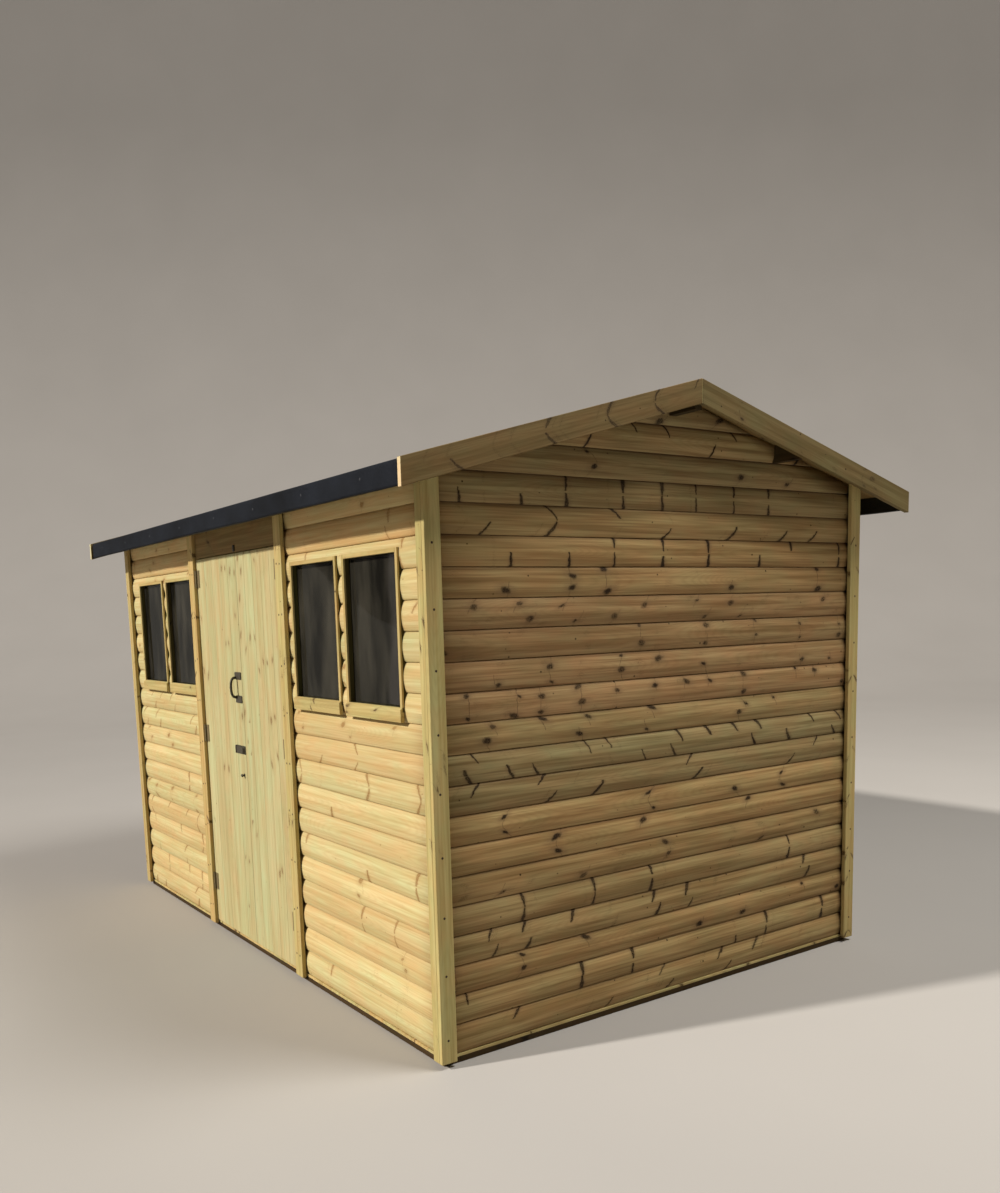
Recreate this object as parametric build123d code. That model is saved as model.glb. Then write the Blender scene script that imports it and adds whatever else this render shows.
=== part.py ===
from build123d import *
import math
import os

# A pressure-treated log-lap garden shed with an apex roof, a pair of boarded doors and two windows.
# The long front with the doors faces -Y, the plain gable in view faces +X and the ground is z = 0.

# Overall sizes, measured over the faces of the cover strips
shed_length = 3505
shed_width = 2424
seat_gap = 0.3

# Floor platform
bearer_height = 22
bearer_width = 70
bearer_count = 7
floor_thickness = 12
floor_setback = 26

# Log-lap cladding and the framing behind it
strip_thickness = 20
cladding_thickness = 22
board_cover = 112
board_round = 9
frame_depth = 44
frame_width = 38
stud_spacing = 600

# Cover strips
front_corner_strip_width = 40
gable_corner_strip_width = 67
door_strip_width = 72
strip_bottom = 20

# Doorway and doors; the doorway lies left of the middle, so the left leaf is the wider one
doorway_width = 1039
doorway_middle = -22
door_face_setback = 18
door_board_thickness = 17
door_boards_per_leaf = 5
door_groove_width = 8
door_groove_depth = 4
door_edge_gap = 6
door_meeting_gap = 6
door_bottom_gap = 6
ledge_thickness = 20
ledge_height = 95
ledge_end_margin = 44
ledge_bottom_margin = 130
ledge_top_margin = 100
brace_width = 80
post_cover = 26
header_gap = 6
header_height = 198
header_thickness = 18
lintel_cover = 20

# Windows, two panes a side
pane_height = 566
window_head_drop = 96
window_corner_margin = 227
window_door_margin = 120
mullion_width = 86
liner_thickness = 16
liner_proud = 8
liner_depth = 74
glass_thickness = 4
glass_setback = 27
bead_size = 8
sill_height = 54
sill_proud = 17
sill_bevel = 8
fit_gap = 0.5

# Roof
roof_slope = 0.2717
ridge_top = 2538
gable_overhang = 140
eaves_overhang = 156
barge_thickness = 22
barge_height = 95
barge_past_fascia = 12
barge_over_felt = 4
felt_thickness = 3
roof_board_thickness = 12
fascia_thickness = 18
fascia_depth = 84
beam_width = 38
ridge_beam_height = 95
purlin_height = 70
purlin_position = 640

# Ironmongery
hinge_height = 90
hinge_bottom_margin = 175
hinge_top_margin = 55
hinge_plate_width = 36
hinge_plate_thickness = 2
knuckle_radius = 5.5
pin_radius = 2.5
pin_clearance = 0.06
knuckle_gap = 0.6
pin_from_jamb = 6.5
handle_from_edge = 43
handle_below_top = 650
handle_length = 152
handle_foot_width = 76
handle_foot_height = 36
handle_foot_thickness = 7
handle_bar_radius = 6.5
handle_bar_inset = 10
handle_bar_from_middle = 24
handle_standoff = 38
hasp_length = 120
hasp_height = 42
hasp_thickness = 12
hasp_below_top = 961
knob_below_hasp = 127
knob_radius = 9
knob_length = 18
knob_from_edge = 34
button_from_meeting = 6
button_width = 18
button_height = 32
button_thickness = 8

# Worked-out positions
half_length = shed_length / 2
half_width = shed_width / 2
crest_inset = strip_thickness
back_inset = strip_thickness + cladding_thickness
frame_face_inset = back_inset + seat_gap
frame_inner_inset = frame_face_inset + frame_depth
floor_top = bearer_height + seat_gap + floor_thickness
wall_bottom = floor_top + seat_gap
fascia_outer = half_width + eaves_overhang - felt_thickness - seat_gap
fascia_inner = fascia_outer - fascia_thickness
felt_outer = half_width + eaves_overhang
barge_end = felt_outer + barge_past_fascia
barge_outer_x = half_length + gable_overhang
barge_inner_x = barge_outer_x - barge_thickness
roof_end_x = barge_inner_x - seat_gap
slope_factor = math.sqrt(1 + roof_slope ** 2)
felt_rise = felt_thickness * slope_factor
board_rise = roof_board_thickness * slope_factor
boards_ridge_top = ridge_top - barge_over_felt - felt_rise - seat_gap
boards_ridge_under = boards_ridge_top - board_rise
wall_top = boards_ridge_under - roof_slope * half_width
door_plane = half_width - door_face_setback
door_bottom = floor_top + door_bottom_gap
header_bottom = wall_top - header_height
door_top = header_bottom - header_gap
doorway_half = doorway_width / 2
clear_half = doorway_half - post_cover
window_top = door_top - window_head_drop
window_bottom = window_top - pane_height
panel_clear = half_length - window_corner_margin - doorway_half - window_door_margin
pane_width = (panel_clear - mullion_width) / 2
board_rows = math.ceil((ridge_top - wall_bottom) / board_cover)
fascia_bottom = boards_ridge_top - roof_slope * fascia_outer - fascia_depth + felt_rise
ledge_step = (door_top - ledge_top_margin - ledge_height - door_bottom - ledge_bottom_margin) / 2
ledge_heights = [door_bottom + ledge_bottom_margin + index * ledge_step for index in range(3)]
hinge_step = (door_top - hinge_top_margin - hinge_height - door_bottom - hinge_bottom_margin) / 2
hinge_heights = [door_bottom + hinge_bottom_margin + index * hinge_step for index in range(3)]
handle_centre_x = -door_meeting_gap / 2 - handle_from_edge
handle_centre_z = door_top - handle_below_top
hasp_centre_z = door_top - hasp_below_top
knob_centre_z = hasp_centre_z - knob_below_hasp
crest_plane = half_width - crest_inset
pin_reach = doorway_half - pin_from_jamb
pin_y = -(door_plane + knuckle_radius + seat_gap + 0.7)


def block(x0, x1, y0, y1, z0, z1):
    """A plain timber between two opposite corners."""
    return Pos((x0 + x1) / 2, (y0 + y1) / 2, (z0 + z1) / 2) * Box(x1 - x0, y1 - y0, z1 - z0)


def prism_along_x(points, x0, x1):
    """An outline drawn in the Y-Z plane, run along the length of the shed."""
    outline = Plane.YZ * Polyline([(y, z) for y, z in points], close=True)
    return Pos(x0, 0, 0) * extrude(make_face(outline), x1 - x0, dir=(1, 0, 0))


def roof_height(base, y):
    """Height of a roof surface at a distance y from the middle, from its height at the ridge."""
    return base - roof_slope * abs(y)


def below_roof():
    """All the space under the roof boards, used to cut the tops of walls and strips."""
    top = boards_ridge_under - seat_gap
    reach = half_width + 5
    outline = [(-reach, 0), (reach, 0), (reach, roof_height(top, reach)), (0, top), (-reach, roof_height(top, reach))]
    return prism_along_x(outline, -half_length - 5, half_length + 5)


def log_lap(corner, outward, run, rows):
    """Rows of rounded boards, run sideways from a corner of the wall at the back of the boards."""
    out = Vector(*outward)
    plane = Plane(origin=corner, x_dir=out, z_dir=out.cross(Vector(0, 0, 1)))
    valley = cladding_thickness - board_round
    edges = [Line((0, 0), (valley, 0))]
    for row in range(rows):
        low = row * board_cover
        edges.append(ThreePointArc((valley, low), (cladding_thickness, low + board_cover / 2), (valley, low + board_cover)))
    edges.append(Line((valley, rows * board_cover), (0, rows * board_cover)))
    edges.append(Line((0, rows * board_cover), (0, 0)))
    return extrude(plane * make_face(edges), run, dir=plane.z_dir)


def bars_between(positions, width, y0, y1, z0, z1):
    """Upright studs centred on a list of places along the length."""
    return [block(x - width / 2, x + width / 2, y0, y1, z0, z1) for x in positions]


def join(pieces):
    """One solid made of pieces that touch or overlap."""
    whole = pieces[0]
    for piece in pieces[1:]:
        whole = whole + piece
    return whole


def window_panes(side):
    """The left and right edges of the two panes of one window."""
    outer = half_length - window_corner_margin
    first = outer - pane_width
    second = first - mullion_width
    spans = [(first, outer), (second - pane_width, second)]
    if side < 0:
        spans = [(-b, -a) for a, b in spans]
    return spans


space = below_roof()
parts = {}

# Floor: the outer bearers make a rim, and the inner ones lie between the two under the gables
floor_x = half_length - floor_setback
floor_y = half_width - floor_setback
inner_bearer_x = floor_x - bearer_width - seat_gap
end_bearer_y = floor_y - bearer_width - seat_gap
bearer_step = (2 * floor_y - bearer_width) / (bearer_count - 1)
bearers = []
for index in range(bearer_count):
    low_y = -floor_y + index * bearer_step
    reach = floor_x if index in (0, bearer_count - 1) else inner_bearer_x
    bearers.append(block(-reach, reach, low_y, low_y + bearer_width, 0, bearer_height))
for low_x in (-floor_x, floor_x - bearer_width):
    bearers.append(block(low_x, low_x + bearer_width, -end_bearer_y, end_bearer_y, 0, bearer_height))
parts["floor_bearers"] = Compound(children=bearers)
parts["floor_boards"] = block(-floor_x, floor_x, -floor_y, floor_y, bearer_height + seat_gap, floor_top)

# Log-lap walls: the front is in two panels with their window openings cut through
wall_x = half_length - crest_inset - seat_gap
back_y = half_width - back_inset
gable_y = half_width - strip_thickness - seat_gap
for side, name in ((-1, "left"), (1, "right")):
    panel_ends = (doorway_middle + side * (doorway_half + seat_gap), side * (half_length - back_inset - seat_gap))
    low_x, high_x = sorted(panel_ends)
    wall = log_lap((high_x, -back_y, wall_bottom), (0, -1, 0), high_x - low_x, board_rows) & space
    for low_x, high_x in window_panes(side):
        edge = liner_thickness + fit_gap
        wall -= block(low_x - edge, high_x + edge, -half_width, 0, window_bottom - edge, window_top + edge)
    parts["front_wall_" + name] = wall
back_run = 2 * (half_length - back_inset - seat_gap)
parts["back_wall"] = log_lap((-back_run / 2, back_y, wall_bottom), (0, 1, 0), back_run, board_rows) & space
for side, name in ((-1, "left"), (1, "right")):
    corner = (side * (half_length - back_inset), side * gable_y, wall_bottom)
    wall = log_lap(corner, (side, 0, 0), 2 * gable_y, board_rows) & space
    for centre in (-purlin_position, 0, purlin_position):
        reach = beam_width / 2 + fit_gap
        low_z = roof_height(boards_ridge_under, centre) - (ridge_beam_height if centre == 0 else purlin_height) - fit_gap
        low_x, high_x = sorted((side * (half_length - back_inset - 5), side * half_length))
        wall -= block(low_x, high_x, centre - reach, centre + reach, low_z, ridge_top)
    parts[name + "_gable_wall"] = wall

# Board over the doors
header_reach = doorway_half - seat_gap
header = block(doorway_middle - header_reach, doorway_middle + header_reach,
               -door_plane, -door_plane + header_thickness, header_bottom, ridge_top)
parts["front_wall_over_door"] = header & space

# Framing: plates, studs between them and rails between the studs, each its own timber
front_y0 = -(half_width - frame_face_inset)
front_y1 = -(half_width - frame_inner_inset)
frame_end = half_length - frame_face_inset
plate_top = roof_height(boards_ridge_under, half_width - frame_face_inset) - seat_gap
plate_low = plate_top - frame_width
sole_top = wall_bottom + frame_width
stud_low = sole_top + seat_gap
stud_high = plate_low - seat_gap


def rails_between(edges, y0, y1, low_z):
    """Short level timbers between neighbouring studs, given the studs' places along the wall."""
    rails = []
    for left, right in zip(edges[:-1], edges[1:]):
        rails.append(block(left + frame_width / 2 + seat_gap, right - frame_width / 2 - seat_gap, y0, y1, low_z, low_z + frame_width))
    return rails


front_timbers = [block(-frame_end, frame_end, front_y0, front_y1, plate_low, ridge_top) & space]
rail_above = window_top + liner_thickness + fit_gap
rail_below = window_bottom - liner_thickness - fit_gap - frame_width
for side in (-1, 1):
    post_side = doorway_middle + side * clear_half
    low_x, high_x = sorted((post_side, side * frame_end))
    front_timbers.append(block(low_x, high_x, front_y0, front_y1, wall_bottom, sole_top))
    first_pane, second_pane = window_panes(side)
    middle = (min(first_pane) + max(second_pane)) / 2 if side > 0 else (max(first_pane) + min(second_pane)) / 2
    studs = sorted((post_side + side * frame_width / 2, middle, side * (frame_end - frame_width / 2)))
    front_timbers += bars_between(studs, frame_width, front_y0, front_y1, stud_low, stud_high)
    front_timbers += rails_between(studs, front_y0, front_y1, rail_above)
    front_timbers += rails_between(studs, front_y0, front_y1, rail_below)
lintel_low = door_top - lintel_cover
lintel_reach = clear_half - seat_gap
front_timbers.append(block(doorway_middle - lintel_reach, doorway_middle + lintel_reach, front_y0, front_y1,
                           lintel_low, lintel_low + frame_width))
parts["front_frame"] = Compound(children=front_timbers)

back_timbers = [block(-frame_end, frame_end, -front_y1, -front_y0, plate_low, ridge_top) & space]
back_timbers.append(block(-frame_end, frame_end, -front_y1, -front_y0, wall_bottom, sole_top))
rail_low = (wall_bottom + plate_low) / 2
bays = math.ceil((2 * frame_end - frame_width) / stud_spacing)
back_studs = [-frame_end + frame_width / 2 + index * (2 * frame_end - frame_width) / bays for index in range(bays + 1)]
back_timbers += bars_between(back_studs, frame_width, -front_y1, -front_y0, stud_low, stud_high)
back_timbers += rails_between(back_studs, -front_y1, -front_y0, rail_low)
parts["back_frame"] = Compound(children=back_timbers)

gable_end = half_width - frame_inner_inset - seat_gap
tie_low = plate_low - frame_width
gable_stud_high = tie_low - seat_gap
rake_top = boards_ridge_under - seat_gap
ridge_pocket = beam_width / 2 + seat_gap
for side, name in ((-1, "left"), (1, "right")):
    low_x, high_x = sorted((side * (half_length - frame_face_inset), side * (half_length - frame_inner_inset)))
    timbers = [block(low_x, high_x, -gable_end, gable_end, wall_bottom, sole_top)]
    timbers.append(block(low_x, high_x, -gable_end, gable_end, tie_low, plate_low))
    bays = math.ceil((2 * gable_end - frame_width) / stud_spacing)
    studs = [-gable_end + frame_width / 2 + index * (2 * gable_end - frame_width) / bays for index in range(bays + 1)]
    for centre in studs:
        timbers.append(block(low_x, high_x, centre - frame_width / 2, centre + frame_width / 2, stud_low, gable_stud_high))
    for near, far in zip(studs[:-1], studs[1:]):
        timbers.append(block(low_x, high_x, near + frame_width / 2 + seat_gap, far - frame_width / 2 - seat_gap, rail_low, rail_low + frame_width))
    king_top = rake_top - ridge_beam_height - seat_gap
    timbers.append(block(low_x, high_x, -frame_width / 2, frame_width / 2, plate_low + seat_gap, king_top))
    for y_side in (-1, 1):
        spans = [(gable_end, purlin_position + ridge_pocket), (purlin_position - ridge_pocket, ridge_pocket)]
        for outer, inner in spans:
            low_outer = max(roof_height(rake_top, outer) - frame_width, plate_low + seat_gap)
            low_inner = roof_height(rake_top, inner) - frame_width
            outline = [(y_side * outer, low_outer), (y_side * outer, roof_height(rake_top, outer)),
                       (y_side * inner, roof_height(rake_top, inner)), (y_side * inner, low_inner)]
            timbers.append(prism_along_x(outline, low_x, high_x))
        purlin_low = roof_height(rake_top, purlin_position) - purlin_height
        timbers.append(block(low_x, high_x, y_side * purlin_position - frame_width / 2, y_side * purlin_position + frame_width / 2,
                             plate_low + seat_gap, purlin_low - seat_gap))
    parts[name + "_gable_frame"] = Compound(children=timbers)

# Cover strips: at each corner one on the long side and one over its edge on the gable
for y_side, y_name in ((-1, "front"), (1, "back")):
    for x_side, x_name in ((-1, "left"), (1, "right")):
        gable_x = sorted((x_side * (half_length - strip_thickness + seat_gap), x_side * half_length))
        gable_ys = sorted((y_side * half_width, y_side * (half_width - gable_corner_strip_width)))
        gable_strip = block(*gable_x, *gable_ys, strip_bottom, ridge_top)
        long_x = sorted((x_side * (half_length - strip_thickness - front_corner_strip_width), x_side * (half_length - strip_thickness)))
        long_y = sorted((y_side * half_width, y_side * (half_width - strip_thickness + seat_gap)))
        long_strip = block(*long_x, *long_y, strip_bottom, ridge_top)
        parts["corner_strips_" + y_name + "_" + x_name] = Compound(children=[gable_strip & space, long_strip & space])
for side, name in ((-1, "left"), (1, "right")):
    near = doorway_middle + side * doorway_half
    low_x, high_x = sorted((near, near + side * door_strip_width))
    strip = block(low_x, high_x, -half_width, -half_width + strip_thickness - seat_gap, strip_bottom, ridge_top)
    parts["door_strip_" + name] = strip & space

# Roof boards, beams, fascias, felt and barge boards
for side, name in ((-1, "front"), (1, "back")):
    start = side * seat_gap / 2
    end = side * (fascia_inner - seat_gap)
    outline = [(start, boards_ridge_under), (start, boards_ridge_top), (end, roof_height(boards_ridge_top, end)),
               (end, roof_height(boards_ridge_under, end))]
    parts["roof_boards_" + name] = prism_along_x(outline, -roof_end_x, roof_end_x)
    near, far = side * fascia_inner, side * fascia_outer
    outline = [(near, fascia_bottom), (far, fascia_bottom), (far, roof_height(boards_ridge_top, far)),
               (near, roof_height(boards_ridge_top, near))]
    parts["eaves_fascia_" + name] = prism_along_x(outline, -roof_end_x, roof_end_x)
    under = boards_ridge_top + seat_gap
    over = under + felt_rise
    inner, outer = side * (fascia_outer + seat_gap), side * felt_outer
    outline = [(start, under), (start, over), (outer, roof_height(over, outer)), (outer, fascia_bottom),
               (inner, fascia_bottom), (inner, roof_height(under, inner))]
    parts["roof_felt_" + name] = prism_along_x(outline, -roof_end_x, roof_end_x)
    end = side * barge_end
    outline = [(start, ridge_top - barge_height), (start, ridge_top), (end, roof_height(ridge_top, end)),
               (end, roof_height(ridge_top - barge_height, end))]
    for x_side, x_name in ((-1, "left"), (1, "right")):
        low_x, high_x = sorted((x_side * barge_inner_x, x_side * barge_outer_x))
        parts["barge_board_" + name + "_" + x_name] = prism_along_x(outline, low_x, high_x)

half_beam = beam_width / 2
under = boards_ridge_under - seat_gap
outline = [(-half_beam, roof_height(under, half_beam)), (0, under), (half_beam, roof_height(under, half_beam)),
           (half_beam, under - ridge_beam_height), (-half_beam, under - ridge_beam_height)]
parts["ridge_beam"] = prism_along_x(outline, -roof_end_x, roof_end_x)
for side, name in ((-1, "front"), (1, "back")):
    near, far = side * (purlin_position - half_beam), side * (purlin_position + half_beam)
    low = roof_height(under, purlin_position) - purlin_height
    outline = [(near, low), (near, roof_height(under, near)), (far, roof_height(under, far)), (far, low)]
    parts["purlin_" + name] = prism_along_x(outline, -roof_end_x, roof_end_x)

# Windows: a liner round each pane with a bead behind the glass and a bevelled sill bar in front
liner_front = -(crest_plane + liner_proud)
for side, name in ((-1, "left"), (1, "right")):
    frames = []
    panes = []
    for low_x, high_x in window_panes(side):
        t = liner_thickness
        ring = block(low_x - t, high_x + t, liner_front, liner_front + liner_depth, window_bottom - t, window_top + t)
        ring -= block(low_x, high_x, liner_front - 1, liner_front + liner_depth + 1, window_bottom, window_top)
        glass_y = liner_front + glass_setback
        bead_y = glass_y + glass_thickness + seat_gap
        bead = block(low_x - 1, high_x + 1, bead_y, bead_y + bead_size, window_bottom - 1, window_top + 1)
        bead -= block(low_x + bead_size, high_x - bead_size, bead_y - 1, bead_y + bead_size + 1,
                      window_bottom + bead_size, window_top - bead_size)
        sill_y = -(crest_plane + sill_proud)
        sill_outline = [(-crest_plane - seat_gap, window_bottom - sill_height), (sill_y, window_bottom - sill_height),
                        (sill_y, window_bottom - sill_bevel), (sill_y + sill_bevel, window_bottom),
                        (-crest_plane - seat_gap, window_bottom)]
        sill = prism_along_x(sill_outline, low_x - t, high_x + t)
        frames.append(ring + bead + sill)
        panes.append(block(low_x + seat_gap, high_x - seat_gap, glass_y, glass_y + glass_thickness,
                           window_bottom + seat_gap, window_top - seat_gap))
    parts["window_frame_" + name] = Compound(children=frames)
    parts["window_glass_" + name] = Compound(children=panes)


def door_leaf(side):
    """Upright boards with a groove at each joint, three ledges behind and a brace between them."""
    outer = doorway_half + side * doorway_middle - door_edge_gap
    inner = door_meeting_gap / 2
    pitch = (outer - inner) / door_boards_per_leaf
    face, back = -door_plane, -door_plane + door_board_thickness
    points = [(inner, back), (inner, face)]
    for index in range(1, door_boards_per_leaf):
        joint = inner + index * pitch
        points += [(joint - door_groove_width / 2, face), (joint, face + door_groove_depth), (joint + door_groove_width / 2, face)]
    points += [(outer, face), (outer, back)]
    outline = make_face(Polyline([(side * x, y) for x, y in points], close=True))
    boards = extrude(outline, door_top - door_bottom, dir=(0, 0, 1))
    boards = Pos(0, 0, door_bottom) * boards
    ledge_in, ledge_out = inner + 8, outer - ledge_end_margin
    low_x, high_x = sorted((side * ledge_in, side * ledge_out))
    whole = [boards]
    for low_z in ledge_heights:
        whole.append(block(low_x, high_x, back - 1, back + ledge_thickness, low_z, low_z + ledge_height))
    for low_z, high_z in zip(ledge_heights[:-1], ledge_heights[1:]):
        foot, head = side * ledge_out, side * ledge_in
        z0, z1 = low_z + ledge_height - 1, high_z + 1
        shift = -side * brace_width
        outline = Polyline([(foot, z0), (foot + shift, z0), (head, z1), (head - shift, z1)], close=True)
        brace = extrude(make_face(Plane.XZ * outline), ledge_thickness + 1, dir=(0, -1, 0))
        whole.append(Pos(0, back + ledge_thickness, 0) * brace)
    return join(whole)


def upright(radius, x, y, z0, z1):
    """A round bar standing upright."""
    return Pos(x, y, (z0 + z1) / 2) * Cylinder(radius, z1 - z0)


def hinge_parts(side):
    """For one door, the plates and knuckles that move with it and those that stay on the strip, with the pins."""
    moving, fixed = [], []
    x = doorway_middle + side * pin_reach
    third = hinge_height / 3
    plate_face = -door_plane - seat_gap
    for low_z in hinge_heights:
        high_z = low_z + hinge_height
        mid_low, mid_high = low_z + third + knuckle_gap / 2, high_z - third - knuckle_gap / 2
        near, far = x - side * (knuckle_radius + 1.5), x - side * hinge_plate_width
        x0, x1 = sorted((near, far))
        plate = block(x0, x1, plate_face - hinge_plate_thickness, plate_face, low_z, high_z)
        x0, x1 = sorted((x, far))
        tongue = block(x0, x1, plate_face - hinge_plate_thickness, plate_face, mid_low, mid_high)
        knuckle = upright(knuckle_radius, x, pin_y, mid_low, mid_high)
        bore = upright(pin_radius + pin_clearance, x, pin_y, low_z, high_z)
        moving.append(plate + tongue + knuckle - bore)
        jamb = doorway_middle + side * (doorway_half - seat_gap)
        x0, x1 = sorted((jamb, jamb - side * hinge_plate_thickness))
        leaf = block(x0, x1, pin_y - knuckle_radius, pin_y + 3, low_z, high_z)
        leaf -= block(x0 - 1, x1 + 1, pin_y - 20, pin_y + 20, mid_low - knuckle_gap, mid_high + knuckle_gap)
        ends = upright(knuckle_radius, x, pin_y, low_z, low_z + third - knuckle_gap / 2)
        ends += upright(knuckle_radius, x, pin_y, high_z - third + knuckle_gap / 2, high_z)
        fixed.append(leaf + ends + upright(pin_radius, x, pin_y, low_z, high_z))
    return Compound(children=moving), Compound(children=fixed)


for side, name in ((-1, "left"), (1, "right")):
    parts["door_" + name] = door_leaf(side)
    moving, fixed = hinge_parts(side)
    parts["door_hinges_" + name] = moving
    parts["jamb_hinges_" + name] = fixed

# Pull handle with two broad feet and a bowed bar toward the hinge side
foot_y = -door_plane - seat_gap
half_run = handle_length / 2 - handle_foot_height / 2
handle_pieces = []
for end in (-1, 1):
    z = handle_centre_z + end * half_run
    foot = block(handle_centre_x - handle_foot_width / 2, handle_centre_x + handle_foot_width / 2,
                 foot_y - handle_foot_thickness, foot_y, z - handle_foot_height / 2, z + handle_foot_height / 2)
    handle_pieces.append(foot)
path_y = foot_y - handle_foot_thickness / 2
bow_half = half_run - handle_bar_inset
bow_points = [(path_y, -bow_half), (foot_y - handle_standoff * 0.8, -bow_half * 0.72),
              (foot_y - handle_standoff + handle_bar_radius, 0),
              (foot_y - handle_standoff * 0.8, bow_half * 0.72), (path_y, bow_half)]
bow = Spline([(y, handle_centre_z + z) for y, z in bow_points])
bow = Plane.YZ * bow
profile = Plane(origin=bow @ 0, z_dir=bow % 0) * Circle(handle_bar_radius)
bar = Pos(handle_centre_x - handle_bar_from_middle, 0, 0) * sweep(profile, path=bow)
parts["pull_handle"] = join(handle_pieces + [bar])

# Hasp plate, the knob below it and the turn button at the head of the doors
edge_x = -door_meeting_gap / 2 - 1
hasp = block(edge_x - hasp_length, edge_x, foot_y - hasp_thickness, foot_y,
             hasp_centre_z - hasp_height / 2, hasp_centre_z + hasp_height / 2)
hasp = chamfer(hasp.edges().group_by(Axis.Y)[0], 2)
knob = Pos(edge_x - knob_from_edge, foot_y - knob_length / 2, knob_centre_z) * Rot(90, 0, 0) * Cylinder(knob_radius, knob_length)
parts["hasp_and_knob"] = Compound(children=[hasp, knob])
button_z = header_bottom + 2
button_low = -button_from_meeting - button_width / 2
parts["turn_button"] = block(button_low, button_low + button_width, foot_y - button_thickness, foot_y,
                             button_z, button_z + button_height)

os.makedirs("parts", exist_ok=True)
for name, shape in parts.items():
    shape.label = name
    export_step(shape, "parts/" + name + ".step")
print(len(parts), "parts written")
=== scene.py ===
# %% [markdown]
# # A log-lap garden shed
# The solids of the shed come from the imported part. Around them this script builds what the eye
# sees: separate rounded boards, planed strips, folded felt, glass and ironmongery. Every piece is
# a surface worked out from a formula and rides on one of the bodies of the part: the shed itself,
# the left door or the right door.

# %% Load the frame and keep its size
import math
import bmesh
import bpy
import numpy as np
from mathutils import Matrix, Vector


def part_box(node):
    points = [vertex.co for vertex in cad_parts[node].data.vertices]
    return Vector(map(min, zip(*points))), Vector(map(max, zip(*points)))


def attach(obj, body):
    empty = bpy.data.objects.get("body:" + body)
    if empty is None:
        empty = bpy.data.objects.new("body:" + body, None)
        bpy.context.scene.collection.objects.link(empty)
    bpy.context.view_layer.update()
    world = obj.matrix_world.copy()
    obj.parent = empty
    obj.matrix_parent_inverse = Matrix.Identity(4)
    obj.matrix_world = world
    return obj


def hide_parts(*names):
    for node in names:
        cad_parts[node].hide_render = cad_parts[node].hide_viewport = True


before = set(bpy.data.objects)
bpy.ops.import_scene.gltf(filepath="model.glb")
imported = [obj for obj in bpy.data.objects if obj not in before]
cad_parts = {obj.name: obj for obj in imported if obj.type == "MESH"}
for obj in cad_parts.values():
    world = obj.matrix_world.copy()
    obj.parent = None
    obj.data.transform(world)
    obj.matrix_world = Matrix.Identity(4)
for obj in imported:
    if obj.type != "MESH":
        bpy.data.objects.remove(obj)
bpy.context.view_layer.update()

# %% [markdown]
# ## Sizes taken from the solids
# Each wall, door and window is placed by the box of its solid, so the pieces fit it. Lengths are
# in metres. Only what a box can't tell is written here: how far one board of the cladding covers,
# how deep its rounding is, and how steep the roof is.

# %% Boxes of the solids
def span(node):
    """The low and the high corner of a solid's box."""
    low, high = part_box(node)
    return np.array(low), np.array(high)

COVER = 0.112
CREST = 0.022
LIP = 0.0125
NECK = 0.0080
SLOPE = 0.2717
wall_bottom = span("back_wall")[0][2]
roof_under_ridge = span("ridge_beam")[1][2]
print("wall bottom", round(wall_bottom, 4), "roof under the ridge", round(roof_under_ridge, 4))

# %% [markdown]
# ## Helpers for finishes
# Colours are written as sRGB hex and turned to linear by one function. A finish is a material
# together with one helper that adds a shader node with its settings and links, so a recipe reads
# as a list of steps.

# %% Colour and shader helpers
def colour(text):
    """sRGB hex to linear: value / 12.92 below 0.04045, ((value + 0.055) / 1.055) ** 2.4 above."""
    value = np.array([int(text[i:i + 2], 16) for i in (0, 2, 4)]) / 255
    linear = np.where(value <= 0.04045, value / 12.92, ((value + 0.055) / 1.055) ** 2.4)
    return (*[float(v) for v in linear], 1.0)

class Finish:
    """A material and the helper that fills it."""
    def __init__(self, name):
        self.material = bpy.data.materials.new(name)
        self.material.use_nodes = True
        self.tree = self.material.node_tree
        self.tree.nodes.clear()

    def add(self, kind, *inputs, out=0, **settings):
        """Adds a node; a second word in kind is its operation. Inputs fill its sockets in order
        (None leaves one as it is) and a dictionary fills them by name or number. out picks the
        output handed back, or None for the node."""
        kind, *operation = kind.split()
        node = self.tree.nodes.new("ShaderNode" + kind)
        if operation:
            node.operation = operation[0]
        for key, value in settings.items():
            setattr(node, key, value)
        for place, value in enumerate(inputs):
            pairs = value.items() if isinstance(value, dict) else [(place, value)]
            for key, item in pairs:
                if isinstance(item, bpy.types.NodeSocket):
                    self.tree.links.new(item, node.inputs[key])
                elif item is not None:
                    node.inputs[key].default_value = item
        return node if out is None else node.outputs[out]

# %% [markdown]
# ## Wood
# One recipe gives every wood in the shed. Each board carries two attributes. The first, grain,
# measures along, across and through the board in metres, across from the board's middle. The
# second, board, holds three chances of its own, so no two boards are alike.
#
# Branches leave the pith of a tree in whorls at nearly even steps. Near the pith a whorl is cut
# along its branches and shows as two streaks leaning out from the middle; away from it, as dark
# ovals. A knot is worked out as a ratio: 0 in its heart, 1 at its rim and FAR where there is none.

# %% Where a place lies from its whorl
HALF_BOARD = COVER / 2
RAGGED = 0.013
FAR = 9.0
SOFT = {"interpolation_type": "SMOOTHSTEP"}

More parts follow.
